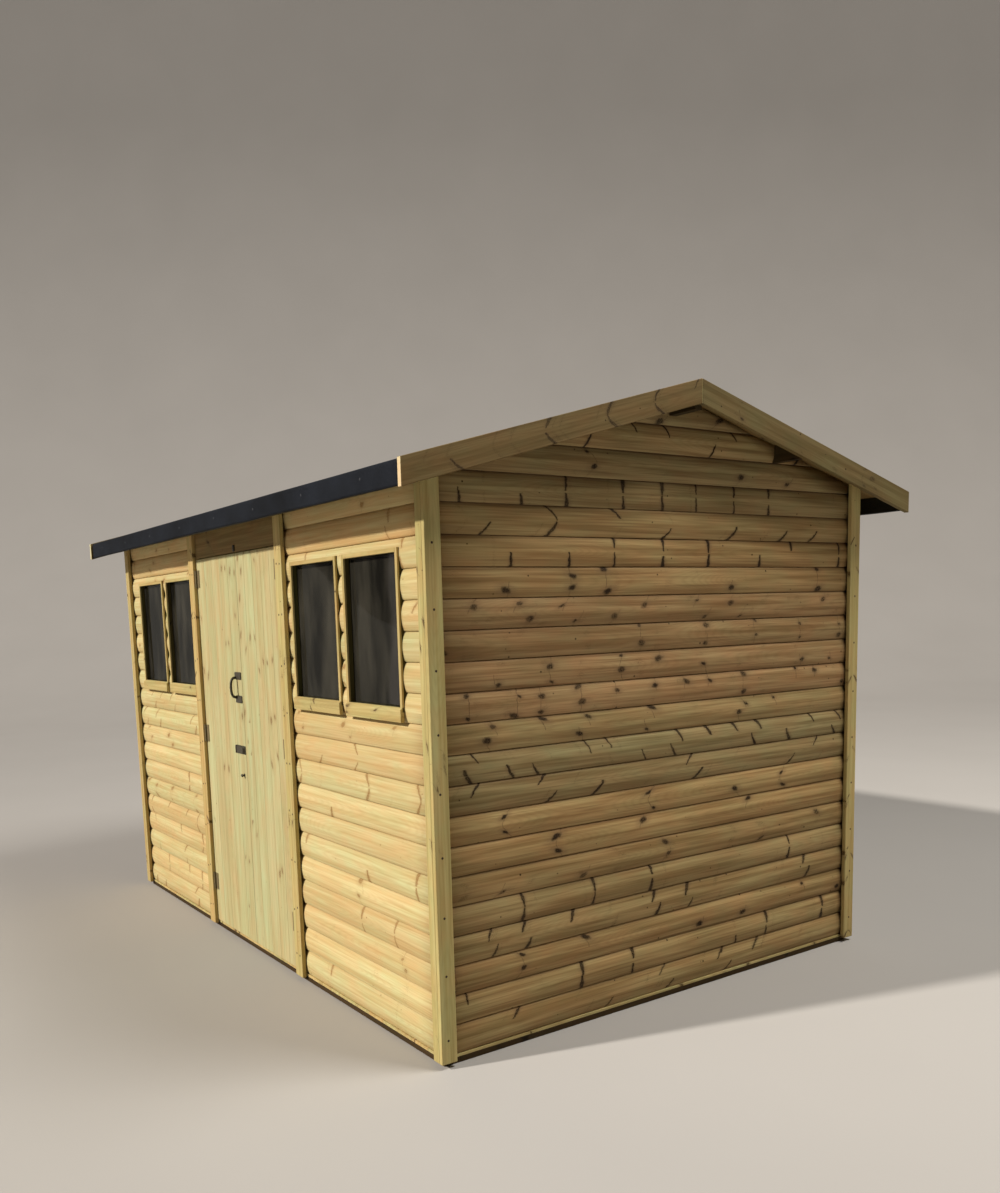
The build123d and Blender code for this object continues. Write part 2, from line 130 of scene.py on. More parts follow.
def whorl_of(f, along, across, tone, gap, push, lift, half):
    """The whorl that a place belongs to: its chances, those of its branch on this side of the
    pith, and how far away the place lies from it along the board and above the pith. push and
    lift make the rims ragged."""
    step = f.add("MapRange", gap, 0.0, 1.0, 0.15, 0.40)
    place = f.add("Math ADD", f.add("Math DIVIDE", along, step), f.add("Math MULTIPLY", tone, 37.0))
    cell = f.add("Math FLOOR", place)
    key = f.add("Math MULTIPLY", tone, 91.7)
    side = f.add("Math SIGN", across)
    (jitter, _, exists), branch = (
        f.add("SeparateColor", f.add("TexWhiteNoise", f.add("CombineXYZ", cell, key, last), out="Color"),
              out=None).outputs for last in (3.0, side))
    middle = f.add("Math MULTIPLY_ADD", jitter, 0.5, 0.25)
    away = f.add("Math MULTIPLY", f.add("Math SUBTRACT", f.add("Math FRACT", place), middle), step)
    high = f.add("Math MULTIPLY", f.add("Math ABSOLUTE", across), HALF_BOARD / half)
    away, high = (f.add("Math MULTIPLY_ADD", f.add("Math SUBTRACT", rim, 0.5), RAGGED, even)
                  for rim, even in ((push, away), (lift, high)))
    return away, f.add("Math MAXIMUM", high, 0.0), side, exists, branch

# %% Streaks and ovals
LEAN = 0.11

def knots(f, away, high, side, exists, branch, kind, lean, slant, whorls, thread):
    """How much of a knot's core and of the halo round it there is at a place."""
    first, second, third = branch

    # A streak: its middle line leans by 1 - (high / 56 mm) ** 1.5 and it thins out towards the pith
    slanting = f.add("Math GREATER_THAN", slant, 0.55)
    leans = f.add("Mix", slanting, {2: LEAN, 3: f.add("Math MULTIPLY", side, LEAN)})
    lean = f.add("Math MULTIPLY", f.add("Math SUBTRACT", lean, 0.5), leans)
    arch = f.add("Math SUBTRACT", 1.0, f.add("Math POWER", f.add("Math DIVIDE", high, HALF_BOARD), 1.5))
    off = f.add("Math SUBTRACT", away, f.add("Math MULTIPLY", lean, arch))
    off_line = f.add("Math ABSOLUTE", off)
    beyond = f.add("Math SUBTRACT", high, f.add("Math MULTIPLY_ADD", second, 0.022, -0.008))
    full = f.add("MapRange", beyond, 0.0, 0.045, 0.45, 1.0, **SOFT)
    width = f.add("Math MULTIPLY", f.add("Math MULTIPLY_ADD", first, 0.0065, 0.0050), full)
    streak_ratio = f.add("Math ADD", f.add("Math DIVIDE", off_line, width),
                         f.add("MapRange", beyond, -0.003, 0.004, FAR, 0.0))

    # An oval 6 to 13 mm in radius across the board and half as long again along it, leaning over.
    # A thin grey thread runs across the board through the ovals of a whorl, unless thread is FAR
    radius = f.add("Math MULTIPLY_ADD", third, 0.0110, 0.0060)
    aside = f.add("Math SUBTRACT", off, f.add("Math MULTIPLY_ADD", first, 0.03, -0.015))
    above = f.add("Math SUBTRACT", high, f.add("Math MULTIPLY_ADD", second, 0.034, 0.013))
    aside = f.add("Math MULTIPLY_ADD", above, f.add("Math MULTIPLY_ADD", first, 1.4, -0.7), aside)
    aside = f.add("Math DIVIDE", aside, 1.55)
    oval = f.add("VectorMath LENGTH", f.add("CombineXYZ", aside, above, 0.0), out="Value")
    oval_ratio = f.add("Math MINIMUM", f.add("Math DIVIDE", oval, radius),
                       f.add("MapRange", off_line, 0.0012, 0.0060, thread, FAR))
    ratio = f.add("Mix", f.add("Math GREATER_THAN", kind, 0.5), {2: streak_ratio, 3: oval_ratio})
    there = f.add("Math MULTIPLY", f.add("Math LESS_THAN", exists, whorls),
                  f.add("Math LESS_THAN", third, 0.68))
    return (f.add("Math MULTIPLY", f.add("MapRange", ratio, rim, heart, 0.0, 1.0, **SOFT), there)
            for rim, heart in ((1.35, 0.5), (3.2, 0.8)))

# %% Pin knots
PINS = np.array((6.0, 20.0))

def pin_knots(f, grain, shift, whorls):
    """Knots 1.5 to 4 mm in radius, at most one to a cell, with PINS cells in a metre each way."""
    grid = f.add("VectorMath MULTIPLY_ADD", grain, (*PINS, 0.0), shift)
    pins = f.add("TexVoronoi", {"Vector": grid, "Scale": 1.0}, voronoi_dimensions="2D", out=None).outputs
    apart = f.add("VectorMath MULTIPLY", f.add("VectorMath SUBTRACT", grid, pins["Position"]),
                  (*(1 / PINS), 0.0))
    chance, measure, _ = f.add("SeparateColor", pins["Color"], out=None).outputs
    ratio = f.add("Math DIVIDE", f.add("VectorMath LENGTH", apart, out="Value"),
                  f.add("Math MULTIPLY_ADD", measure, 0.0025, 0.0015))
    return f.add("Math MULTIPLY", f.add("MapRange", ratio, 1.4, 0.6, 0.0, 1.0, **SOFT),
                 f.add("Math LESS_THAN", chance, 0.22 * whorls))

# %% [markdown]
# ### Growth rings
# Growth rings are cylinders round the pith, so on a sawn face they show as level lines of
# r = sqrt(across² + pith²), where pith is how deep the pith lies below that place and drifts
# slowly along the board. That gives the long arches of a sawn softwood board.

# %% Growth rings
RING = 0.0052

def rings_of(f, grain, shift, across, band, halo):
    """Late wood as ((sin(2 pi r / RING) + 1) / 2) ** 2, bent by the soft bands and the knots."""
    drift = f.add("TexNoise", {"Vector": f.add("VectorMath MULTIPLY_ADD", grain, (0.8, 0.0, 0.0), shift),
                               "Scale": 1.0, "Detail": 1.0})
    pith = f.add("Math MULTIPLY_ADD", drift, 0.22, -0.07)
    ring = f.add("VectorMath LENGTH", f.add("CombineXYZ", across, pith, 0.0), out="Value")
    ring = f.add("Math MULTIPLY_ADD", ring, 2 * math.pi / RING, f.add("Math MULTIPLY", band, 7.0))
    ring = f.add("Math MULTIPLY_ADD", halo, 3.0, ring)
    return f.add("Math POWER", f.add("Math MULTIPLY_ADD", f.add("Math SINE", ring), 0.5, 0.5), 2.0)

# %% [markdown]
# ### The whole recipe
# The pattern is laid in layers, as the eye reads it: soft bands of pale and warm wood, thin lines
# of late wood, streaks, wide blotches, the tint and shade that the board has as a whole, then painted
# shade in the joints and on the lower half of each board, and the knots. Bands, streaks and blotches
# are noise that is stretched along the board.

# %% Wood recipe
# Settings of a mix of two colours, which go into its sockets 6 and 7
RGBA = {"data_type": "RGBA", "out": 2}

def wood(name, colours, whorls=0.75, lines=0.12, streaks=0.5, half=HALF_BOARD, rough=0.72, stripe=50.0,
         tints="ECF0DC FBF5E2 FAEBD4", contrast=0.16, painted_shade=0.0, mark=0.9, thread=0.95):
    """colours are those of pale and warm wood, of the grain's lines and of the knots. whorls is the
    share of whorls that show; lines, streaks and mark are strengths, and so is the one for painted
    shade in the joints and on the lower half of each board; half is half the board's width, and
    stripe is the number of soft bands in a metre."""
    pale, warm, line, knot = (colour(text) for text in colours.split())
    cool, even, rosy = (colour(text) for text in tints.split())
    f = Finish(name)
    grain, board = (f.add("Attribute", attribute_name=key, out="Vector") for key in ("grain", "board"))
    along, across, depth = f.add("SeparateXYZ", grain, out=None).outputs
    tone, gap, kind = f.add("SeparateXYZ", board, out=None).outputs
    shift = f.add("VectorMath MULTIPLY", board, (40.0, 17.0, 23.0))

    # Three more chances: the fraction of a multiple of one that the board has
    lean, slant, shade = (f.add("Math FRACT", f.add("Math MULTIPLY", chance, times))
                          for chance, times in ((kind, 13.7), (kind, 29.3), (gap, 7.3)))

    # Soft bands 1 / stripe m wide, streaks 8 mm wide and pores near 1 mm, all drawn out along the
    # board, blotches as wide as a hand, and an even unevenness for the rims of the knots
    scales = ((1.6, stripe, stripe), (2.4, 120.0, 120.0), (14.0, 800.0, 800.0), (7.0, 16.0, 16.0),
              (60.0, 60.0, 60.0))
    band, streak, pore, blotch, ragged = (
        f.add("TexNoise", {"Vector": f.add("VectorMath MULTIPLY_ADD", grain, scale, shift), "Scale": 1.0,
                           "Detail": 2.0}, out=out) for scale, out in zip(scales, (0, 0, 0, 0, "Color")))
    push, lift, _ = f.add("SeparateColor", ragged, out=None).outputs
    whorl = whorl_of(f, along, across, tone, gap, push, lift, half)
    core, halo = knots(f, *whorl, kind, lean, slant, whorls, thread)
    late = rings_of(f, grain, shift, across, band, halo)

    # The wood's own colour
    base = f.add("Mix", f.add("MapRange", band, 0.36, 0.64), {6: pale, 7: warm}, **RGBA)
    cast = f.add("Mix", f.add("MapRange", blotch, 0.35, 0.65), {6: colour("F4F8EC"), 7: colour("FCF2E5")},
                 **RGBA)
    tint = f.add("Mix", f.add("MapRange", tone, 0.0, 0.5), {6: cool, 7: even}, **RGBA)
    tint = f.add("Mix", f.add("MapRange", tone, 0.5, 1.0), {6: tint, 7: rosy}, **RGBA)
    for factor, over, blend in ((f.add("Math MULTIPLY", late, lines), line, "MIX"),
                                (f.add("MapRange", streak, 0.47, 0.80, 0.0, streaks), line, "MIX"),
                                (1.0, cast, "MULTIPLY"), (1.0, tint, "MULTIPLY")):
        base = f.add("Mix", factor, {6: base, 7: over}, blend_type=blend, **RGBA)
    base = f.add("VectorMath SCALE", base, {3: f.add("Math MULTIPLY_ADD", shade, contrast, 1 - contrast)})

    # Marks on it: painted shade in the joints and on the lower half of each board, halos round the knots, and
    # the knots
    dark = f.add("Math MULTIPLY", f.add("Math MAXIMUM", core, pin_knots(f, grain, shift, whorls)), mark)
    marks = [(f.add("Math MULTIPLY", halo, 0.45), line), (dark, knot)]
    if painted_shade:
        # Painted shade: the joint under each lip is darker, and the lower half of each board is a little
        # browner under its bulge; the flat back of the board, under 4 mm deep, gets none
        painted_shade_mask = f.add("Math MAXIMUM", f.add("MapRange", depth, 0.0065, 0.0150, painted_shade, 0.0),
                       f.add("MapRange", across, -HALF_BOARD, -0.005, 0.22, 0.0))
        marks.insert(0, (f.add("Math MULTIPLY", painted_shade_mask, f.add("Math GREATER_THAN", depth, 0.004)), line))
    for factor, over in marks:
        base = f.add("Mix", factor, {6: base, 7: over}, **RGBA)

    # Soft early wood lies a little lower than the late wood, and pores lower still
    height = f.add("Math MULTIPLY_ADD", late, 0.4, f.add("Math MULTIPLY", pore, 0.6))
    bump = f.add("Bump", {"Height": height, "Strength": 0.35, "Distance": 0.0010})
    surface = f.add("BsdfPrincipled", {"Base Color": base, "Roughness": rough,
                                       "Specular IOR Level": 0.15, "Normal": bump})
    f.add("OutputMaterial", surface, out=None)
    print(name, len(f.tree.nodes), "nodes")
    return f.material

# %% The woods of the shed
# Treated pine log-lap in the sun: cream and straw with a green cast and few, soft marks
# Its third tint, pinkish brown, is a tone of some boards and also the painted shade of the top boards
front_wood = wood("Treated pine log-lap, front", "E2DEBC D8CAA2 B39766 8A6434", whorls=0.45,
                  tints="EEF0DC FCF4E0 F6DEC4", painted_shade=0.5, mark=0.75)
# The same boards with many dark knots, browner, as on the gables and the back
gable_wood = wood("Treated pine log-lap, knotty", "CBB594 A48C6C 785F44 241709", whorls=0.9, streaks=0.6,
                  stripe=42.0, tints="E0E6D2 F9EFD2 F4E4D2", contrast=0.2, painted_shade=0.6, mark=0.95)
# Planed matchboard of the doors: pale and greenish, with long soft stripes
door_wood = wood("Treated pine matchboard, doors", "D0CFB0 C8BE9B A19066 765832", whorls=0.4, stripe=22.0,
                 half=0.051, tints="F0F2E2 F6F4E4 F5EEDC", contrast=0.1, mark=0.7, thread=FAR)
# Planed cover strips, window surrounds and sills: pale, faintly green
strip_wood = wood("Treated pine battens, planed", "D2C79C C2B284 98835A 4E3820", whorls=0.5, half=0.034,
                  tints="EEF0DC F8F2DE F8EAD4", contrast=0.1)
# The inside of the window openings and the glass beads: the same wood, darkened as painted shade
shaded_reveal_wood = wood("Treated pine, reveals in painted shade", "5E5A34 4C472A 35301C 241C10", whorls=0.2, half=0.037,
                   contrast=0.1)
# Barge boards: planed, browner, with a few large knots
barge_wood = wood("Treated pine barge boards", "968464 827050 625038 2A1D10", whorls=0.7, half=0.047,
                  tints="E8ECDC F2F0E2 F2EAD8", contrast=0.12)
# The freshly cut lower ends of the barge boards, nearly white
cut_wood = wood("Treated pine, fresh-cut ends", "EEE8D8 E6DEC8 CDBD98 A88A5C", whorls=0.0, streaks=0.2,
                contrast=0.0)
# The bearers, the ridge beam and the purlins: rough, and darkened as painted shade so the purlin ends
# under the barges read as shaded; their own colour is a guess
shaded_beam_wood = wood("Sawn pine, beams in painted shade", "4E4230 433725 302617 1A130A", whorls=0.5, rough=0.85, contrast=0.1)
# The board over the doors and the underside of the roof stay in shade, and take a browner, darker
# copy of the wood as painted shade
header_wood = wood("Treated pine, shaded", "9A8A66 857350 66553A 352818", whorls=0.5, contrast=0.1)
# The eaves boards: nearly black, like the felt that is folded over them
near_black_eaves_wood = wood("Softwood eaves boards, near black", "2A2823 23211D 181714 0F0E0D", whorls=0.3, half=0.042,
                   rough=0.6, contrast=0.1)
# Sawn timber of the frames and the floor
sawn_wood = wood("Sawn pine, untreated", "DCD0A6 CCBC90 94794F 4B3622", whorls=0.5, lines=0.25, half=0.03,
                 rough=0.85, contrast=0.14)

# %% [markdown]
# ## Felt, glass and metal
# Mineral felt is bitumen sheet pressed with slate grit: nearly black, with grey specks and no
# gloss. The glass mixes a clear and a mirror shader by Fresnel, under a thin film of dust. The
# handle, the hasp and the turn button are black japanned steel, with an uneven, faintly glossy
# coat. The hinges are steel under a yellow passivated coat, and the nails have rusted.

# %% Felt
f = Finish("Mineral roofing felt, charcoal")
place = f.add("TexCoord", out="Object")
grit = f.add("TexNoise", {"Vector": place, "Scale": 700.0, "Detail": 2.0})
cloud = f.add("TexNoise", {"Vector": place, "Scale": 4.0, "Detail": 5.0})
base = f.add("Mix", f.add("MapRange", cloud, 0.3, 0.7, 0.0, 1.0),
             {6: colour("0D0F12"), 7: colour("1C2027")}, **RGBA)
base = f.add("Mix", f.add("MapRange", grit, 0.55, 0.75, 0.0, 0.6), {6: base, 7: colour("4C5058")}, **RGBA)
bump = f.add("Bump", {"Height": grit, "Strength": 0.6, "Distance": 0.0012})
surface = f.add("BsdfPrincipled", {"Base Color": base, "Roughness": 0.9, "Specular IOR Level": 0.1,
                                   "Normal": bump})
f.add("OutputMaterial", surface, out=None)
felt = f.material
print(felt.name, len(f.tree.nodes), "nodes")

# %% Glass
f = Finish("Window glass, dusty")
place = f.add("TexCoord", out="Object")
wave = f.add("TexNoise", {"Vector": place, "Scale": 2.5, "Detail": 1.0})
dust = f.add("TexNoise", {"Vector": f.add("VectorMath MULTIPLY", place, (9.0, 9.0, 2.5)), "Scale": 1.0,
                          "Detail": 6.0})
bump = f.add("Bump", {"Height": wave, "Strength": 0.10, "Distance": 0.01})
clear = f.add("BsdfTransparent", colour("A0A59E"))
mirror = f.add("BsdfGlossy", {"Color": colour("A8ACAE"), "Roughness": 0.03, "Normal": bump})
film = f.add("BsdfDiffuse", colour("A39C8A"))
pane = f.add("MixShader", f.add("Fresnel", {"IOR": 1.45, "Normal": bump}), clear, mirror)
pane = f.add("MixShader", f.add("MapRange", dust, 0.40, 0.8, 0.02, 0.14), pane, film)
f.add("OutputMaterial", pane, out=None)
glass = f.material
print(glass.name, len(f.tree.nodes), "nodes")

# %% Metal
def metal(name, low, high, metallic, rough_low, rough_high):
    """Noise about 6 mm wide carries the colour from low to high, and the roughness with it."""
    f = Finish(name)
    worn = f.add("TexNoise", {"Vector": f.add("TexCoord", out="Object"), "Scale": 160.0, "Detail": 3.0})
    base = f.add("Mix", worn, {6: colour(low), 7: colour(high)}, **RGBA)
    rough = f.add("MapRange", worn, 0.3, 0.7, rough_low, rough_high)
    bump = f.add("Bump", {"Height": worn, "Strength": 0.25, "Distance": 0.0005})
    surface = f.add("BsdfPrincipled", {"Base Color": base, "Metallic": metallic, "Roughness": rough,
                                       "Normal": bump})
    f.add("OutputMaterial", surface, out=None)
    print(name, len(f.tree.nodes), "nodes")
    return f.material

# Black japanned steel: a brownish near black, with soft highlights on its round parts
black = metal("Black japanned steel", "262218", "48412C", 0.0, 0.4, 0.65)
# Hinges: steel under yellow passivated zinc, dull olive brown that nearly blends with the wood
olive = metal("Yellow passivated steel", "5E5234", "857650", 0.25, 0.5, 0.75)
# Felt clouts: dull zinc
zinc = metal("Galvanised clouts", "2A2C30", "46494E", 0.6, 0.5, 0.7)
# Wire nails: rusty brown
rust = metal("Rusted wire nails", "2A1B0E", "40290F", 0.1, 0.6, 0.8)

# %% [markdown]
# ## Helpers for shapes
# Most pieces are boards. A board is a closed outline carried along from one end to the other:
# ring i holds the outline at place i, so the whole board is the grid P[i, j], closed by a face at
# each end. Studs, such as nail heads and knobs, are a profile turned round an axis, and all the
# studs of one piece are worked out at once.

# %% Mesh helpers
rng = np.random.default_rng(20)

def chances():
    return rng.uniform(0, 1, 3)

def read(items, key, width=1, kind=float):
    """What a mesh holds under key for each of its items, in rows of the given width."""
    values = np.empty(len(items) * width, kind)
    items.foreach_get(key, values)
    return values if width == 1 else values.reshape(-1, width)

def write_layers(mesh, **layers):
    """Stores a vector for each point of the mesh in each named layer."""
    for key, values in layers.items():
        layer = mesh.attributes.new(key, "FLOAT_VECTOR", "POINT")
        layer.data.foreach_set("vector", np.ascontiguousarray(values, np.float32).ravel())

def settle(name, mesh, body, nodes=()):
    """Puts a mesh in the scene, on its body, in the place of the solids that it replaces."""
    obj = bpy.data.objects.new(name, mesh)
    bpy.context.scene.collection.objects.link(obj)
    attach(obj, body)
    if nodes:
        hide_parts(*nodes)
    return obj

def make_piece(name, points, faces, material, body, slot, nodes=(), smooth=True, **layers):
    """Puts points and faces in a mesh, and turns the faces of each closed shell outwards."""
    mesh = bpy.data.meshes.new(name)
    mesh.from_pydata(points.tolist(), [], faces)
    write_layers(mesh, **layers)
    mesh.polygons.foreach_set("use_smooth", np.broadcast_to(np.array(smooth, bool), len(faces)))
    shell = bmesh.new()
    shell.from_mesh(mesh)
    bmesh.ops.recalc_face_normals(shell, faces=shell.faces)
    shell.to_mesh(mesh)
    shell.free()
    mesh.materials.append(material)
    settle(name, mesh, body, nodes)
    print(name, len(faces), "faces")

def bands(index):
    """The quads between closed rings of points: each ring is joined to the one after it."""
    a, b = index[..., :-1, :], index[..., 1:, :]
    return np.stack([a, np.roll(a, -1, -1), np.roll(b, -1, -1), b], -1).reshape(-1, 4)

def cells(index):
    """The quads of an open grid of points."""
    return np.stack([index[:-1, :-1], index[1:, :-1], index[1:, 1:], index[:-1, 1:]], -1).reshape(-1, 4)

class Boards:
    """Collects many boards into one mesh, with the grain and the chances of each."""
    def __init__(self):
        self.points, self.faces, self.grain, self.board, self.smooth, self.count = [], [], [], [], [], 0

    def add(self, rings, grain, board, rounded=False):
        n, k = rings.shape[:2]
        index = np.arange(n * k).reshape(n, k) + self.count
        quads = bands(index)
        self.faces += quads.tolist() + [index[0, ::-1].tolist(), index[-1].tolist()]
        self.smooth += [rounded] * len(quads) + [False, False]
        self.points.append(rings.reshape(-1, 3))
        self.grain.append(grain.reshape(-1, 3))
        self.board.append(np.tile(board, (n * k, 1)))
        self.count += n * k

    def build(self, name, material, body, slot, *nodes):
        make_piece(name, np.concatenate(self.points), self.faces, material, body, slot, nodes, self.smooth,
                   grain=np.concatenate(self.grain), board=np.concatenate(self.board))

def eased(width, depth, radius, steps=3):
    """A rectangle with rounded corners: each corner's centre + radius (cos t, sin t)."""
    t = np.linspace(0, math.pi / 2, steps + 1)
    turn = np.arange(4)[:, None] * math.pi / 2
    x = np.array([1, -1, -1, 1])[:, None] * (width / 2 - radius) + radius * np.cos(t + turn)
    y = np.array([1, 1, -1, -1])[:, None] * (depth / 2 - radius) + radius * np.sin(t + turn)
    return np.stack([x.ravel(), y.ravel()], 1)

def timber(boards, start, end, across, outline, cut=0.0):
    """An outline carried from start to end. across is the way its first axis lies. Both ends slide
    along by cut metres per metre of width, as for a plumb cut on a sloping board."""
    start, end, across = (np.array(v, float) for v in (start, end, across))
    length = np.linalg.norm(end - start)
    along = (end - start) / length
    through = np.cross(along, across)
    place = np.array([[0.0], [length]]) + cut * outline[:, 0]
    wide, deep = (np.broadcast_to(outline[:, i], place.shape) for i in (0, 1))
    rings = start + place[..., None] * along + wide[..., None] * across + deep[..., None] * through
    boards.add(rings, np.stack([place - length / 2, wide, deep], -1), chances())

def circle(sides):
    """Cosine and sine of evenly spaced angles all the way round."""
    t = np.arange(sides) * 2 * math.pi / sides
    return np.cos(t), np.sin(t)

def studs(name, material, body, slot, places, normal, profile, sides=12):
    """Turns a profile of (radius, height) pairs round the normal at every place:
    P = place + radius (u cos t + v sin t) + height n."""
    normal = np.array(normal, float)
    u = np.cross(normal, (0.31, 0.47, 0.83))
    u /= np.linalg.norm(u)
    v = np.cross(normal, u)
    cos, sin = circle(sides)
    profile = np.array(profile)
    one = (profile[:, 0, None, None] * (np.outer(cos, u) + np.outer(sin, v))
           + profile[:, 1, None, None] * normal)
    points = (np.array(places)[:, None, None, :] + one).reshape(-1, 3)
    index = np.arange(len(points)).reshape(-1, len(profile), sides)
    faces = bands(index).tolist() + index[:, 0, ::-1].tolist() + index[:, -1].tolist()
    make_piece(name, points, faces, material, body, slot)

def dome(radius, height):
    """A low round head: radius cos t, height sin t, from its rim to nearly its top."""
    t = np.linspace(0, 0.46 * math.pi, 4)
    return np.concatenate([[[radius, -0.001]], np.stack([radius * np.cos(t), height * np.sin(t)], 1)])

# %% [markdown]
# ## Dressing solid timbers
# Frames, beams and strips are already right as solids, but their edges are knife sharp and they
# know nothing of grain. A merged copy of the solid gets eased edges, and each separate timber in
# it gets its grain along its longest side, found as the main axis of its corners.

# %% Dress a solid as timber
CUT_END = math.cos(math.radians(25))

def dress(name, material, ease=0.0018, cut=None):
    """Label the corners that edges join, take each group's axes from its singular value
    decomposition, longest first, and use them as along, across and through. A face turned less
    than 25 degrees from along is a cut end, and takes the finish cut if there is one."""
    shell = bmesh.new()
    shell.from_mesh(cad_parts[name].data)
    bmesh.ops.remove_doubles(shell, verts=shell.verts, dist=1e-5)
    bmesh.ops.dissolve_limit(shell, angle_limit=math.radians(1), verts=shell.verts, edges=shell.edges)
    mesh = bpy.data.meshes.new(name + "_timber")
    shell.to_mesh(mesh)
    shell.free()
    points = read(mesh.vertices, "co", 3)
    edges = read(mesh.edges, "vertices", 2, int)
    label = np.arange(len(points))
    moved = True
    while moved:
        updated = label.copy()
        for end in (0, 1):
            np.minimum.at(updated, edges[:, end], label[edges].min(1))
        moved = bool((updated != label).any())
        label = updated
    grain, board, axis = (np.zeros_like(points) for _ in range(3))
    for one in np.unique(label):
        mine = label == one
        centred = points[mine] - points[mine].mean(0)
        axes = np.linalg.svd(centred, full_matrices=False)[2]
        grain[mine], axis[mine] = centred @ axes.T, axes[0]
        board[mine] = chances()
    write_layers(mesh, grain=grain, board=board)
    mesh.materials.clear()
    mesh.materials.append(material)
    if cut:
        mesh.materials.append(cut)
        corner = read(mesh.loops, "vertex_index", kind=int)[read(mesh.polygons, "loop_start", kind=int)]
        facing = np.abs((read(mesh.polygons, "normal", 3) * axis[corner]).sum(1))
        mesh.polygons.foreach_set("material_index", (facing > CUT_END).astype(int))
    edge = settle(name + "_dressed", mesh, "shed", (name,)).modifiers.new("Eased edges", "BEVEL")
    edge.width = ease
    edge.segments = 2
    edge.limit_method = "ANGLE"
    edge.angle_limit = math.radians(40)
    print(name, len(np.unique(label)), "timbers")

for name in ("front_frame", "back_frame", "left_gable_frame", "right_gable_frame"):
    dress(name, sawn_wood)
for name in ("ridge_beam", "purlin_front", "purlin_back"):
    dress(name, shaded_beam_wood)
dress("floor_bearers", shaded_beam_wood)
for name in ("eaves_fascia_front", "eaves_fascia_back"):
    dress(name, near_black_eaves_wood)
for corner in ("front_left", "front_right", "back_left", "back_right"):
    dress("corner_strips_" + corner, strip_wood, 0.0025)
    dress("barge_board_" + corner, barge_wood, 0.0025, cut_wood)
for side in ("left", "right"):
    dress("door_strip_" + side, strip_wood, 0.0025)
dress("front_wall_over_door", header_wood, 0.002)

# %% [markdown]
# ## Log-lap boards
# Log-lap is planed to look like a stack of slim logs. The face bulges as
# foot + (crest - foot) (1 - (2 s - 1) ** 2), where s runs from 0 at the lower lip to 1 at the
# top. The top is a little deeper than the lip of the next board, which leaves a fine dark line.
# Each board is one length with its own wood. On a gable its ends follow the slope of the roof,
# and in the front it is cut round the window openings. No board is quite straight: it leans in by
# up to 0.8 mm, and two waves of 0.4 mm along it take its face in by up to 1.6 mm more.

# %% Boards of one wall
TOP_DROP = 0.004
LIP_DROP = 0.0035
LEAN_IN = 0.0008
RIPPLE = 0.0004
WAVES = (3.1, 7.3)

def board_outline(low, high, bottom):
    """(outward, height) pairs of the part of a board between two heights."""
    s = 0.5 - 0.5 * np.cos(np.linspace(0, math.pi, 15))
    s = (low - bottom + s * (high - low)) / COVER
    foot = NECK + (LIP - NECK) * np.clip((1 - s) / 0.5, 0, 1)
    bulge = foot + (CREST - foot) * (1 - (2 * s - 1) ** 2)
    bulge = bulge - TOP_DROP * np.clip((s - 0.975) / 0.02, 0, 1) - LIP_DROP * np.clip(1 - s / 0.018, 0, 1)
    face = np.stack([bulge, bottom + s * COVER], 1)
    return np.concatenate([[[0.001, high], [0.001, low]], face])

def clad(boards, origin, outward, along, pieces_of, trend=((0.0, 0.5),), loose=0.6):
    """Lays rows of boards up a wall. pieces_of(row bottom, row top) gives the pieces of a row as
    (low, high, start(z), end(z)). The tone of a row follows the (height, tone) pairs of trend and
    strays from them by up to half of loose."""
    outward, along = np.array(outward, float), np.array(along, float)
    bottom = origin[2]
    t = np.linspace(0, 1, 9)[:, None]
    while (pieces := pieces_of(bottom, bottom + COVER)) is not None:
        board = chances()
        board[0] = np.clip(np.interp(bottom, *zip(*trend)) + loose * (board[0] - 0.5), 0.01, 0.99)
        lean, wave = rng.uniform(-LEAN_IN, 0.0), rng.uniform(0, 6, 2)
        for low, high, start, end in pieces:
            face, height = board_outline(low, high, bottom).T
            place = (1 - t) * start(height) + t * end(height)
            uneven = RIPPLE * (sum(np.sin(w * place + start_at) for w, start_at in zip(WAVES, wave)) - 2)
            # Only the face is uneven; the back, 1 mm from the wall's plane, stays flat
            proud = face + (lean + uneven) * (face > 0.005)
            rings = (np.array([origin[0], origin[1], 0.0]) + place[..., None] * along
                     + proud[..., None] * outward)
            rings[..., 2] = height
            middle, depth = (np.broadcast_to(v, place.shape) for v in (height - bottom - COVER / 2, face))
            boards.add(rings, np.stack([place, middle, depth], -1), board, rounded=True)
        bottom += COVER

def straight(value):
    return lambda height: np.full(len(height), value)

def wall_rows(low_x, high_x, top, openings=()):
    """Rows of a straight wall, split level by level where an opening cuts them."""
    def pieces_of(low, high):
        if low >= top - 0.002:
            return None
        high = min(high, top)
        levels = sorted({low, high, *(v for one in openings for v in one[2:] if low < v < high)})
        pieces = []
        for z0, z1 in zip(levels[:-1], levels[1:]):
            cuts = sorted(one[:2] for one in openings if one[2] < (z0 + z1) / 2 < one[3])
            edges = [low_x, *(v for pair in cuts for v in pair), high_x]
            pieces += [(z0, z1, straight(a), straight(b)) for a, b in zip(edges[::2], edges[1::2])]
        return pieces
    return pieces_of

def gable_rows(half, apex):
    """Rows of a gable: half its width, or what the slope leaves of it below the apex."""
    def reach(height):
        return np.minimum(half, (apex - height) / SLOPE)
    def pieces_of(low, high):
        if low >= apex - 0.01:
            return None
        return [(low, min(high, apex - 0.001), lambda height: -reach(height), reach)]
    return pieces_of

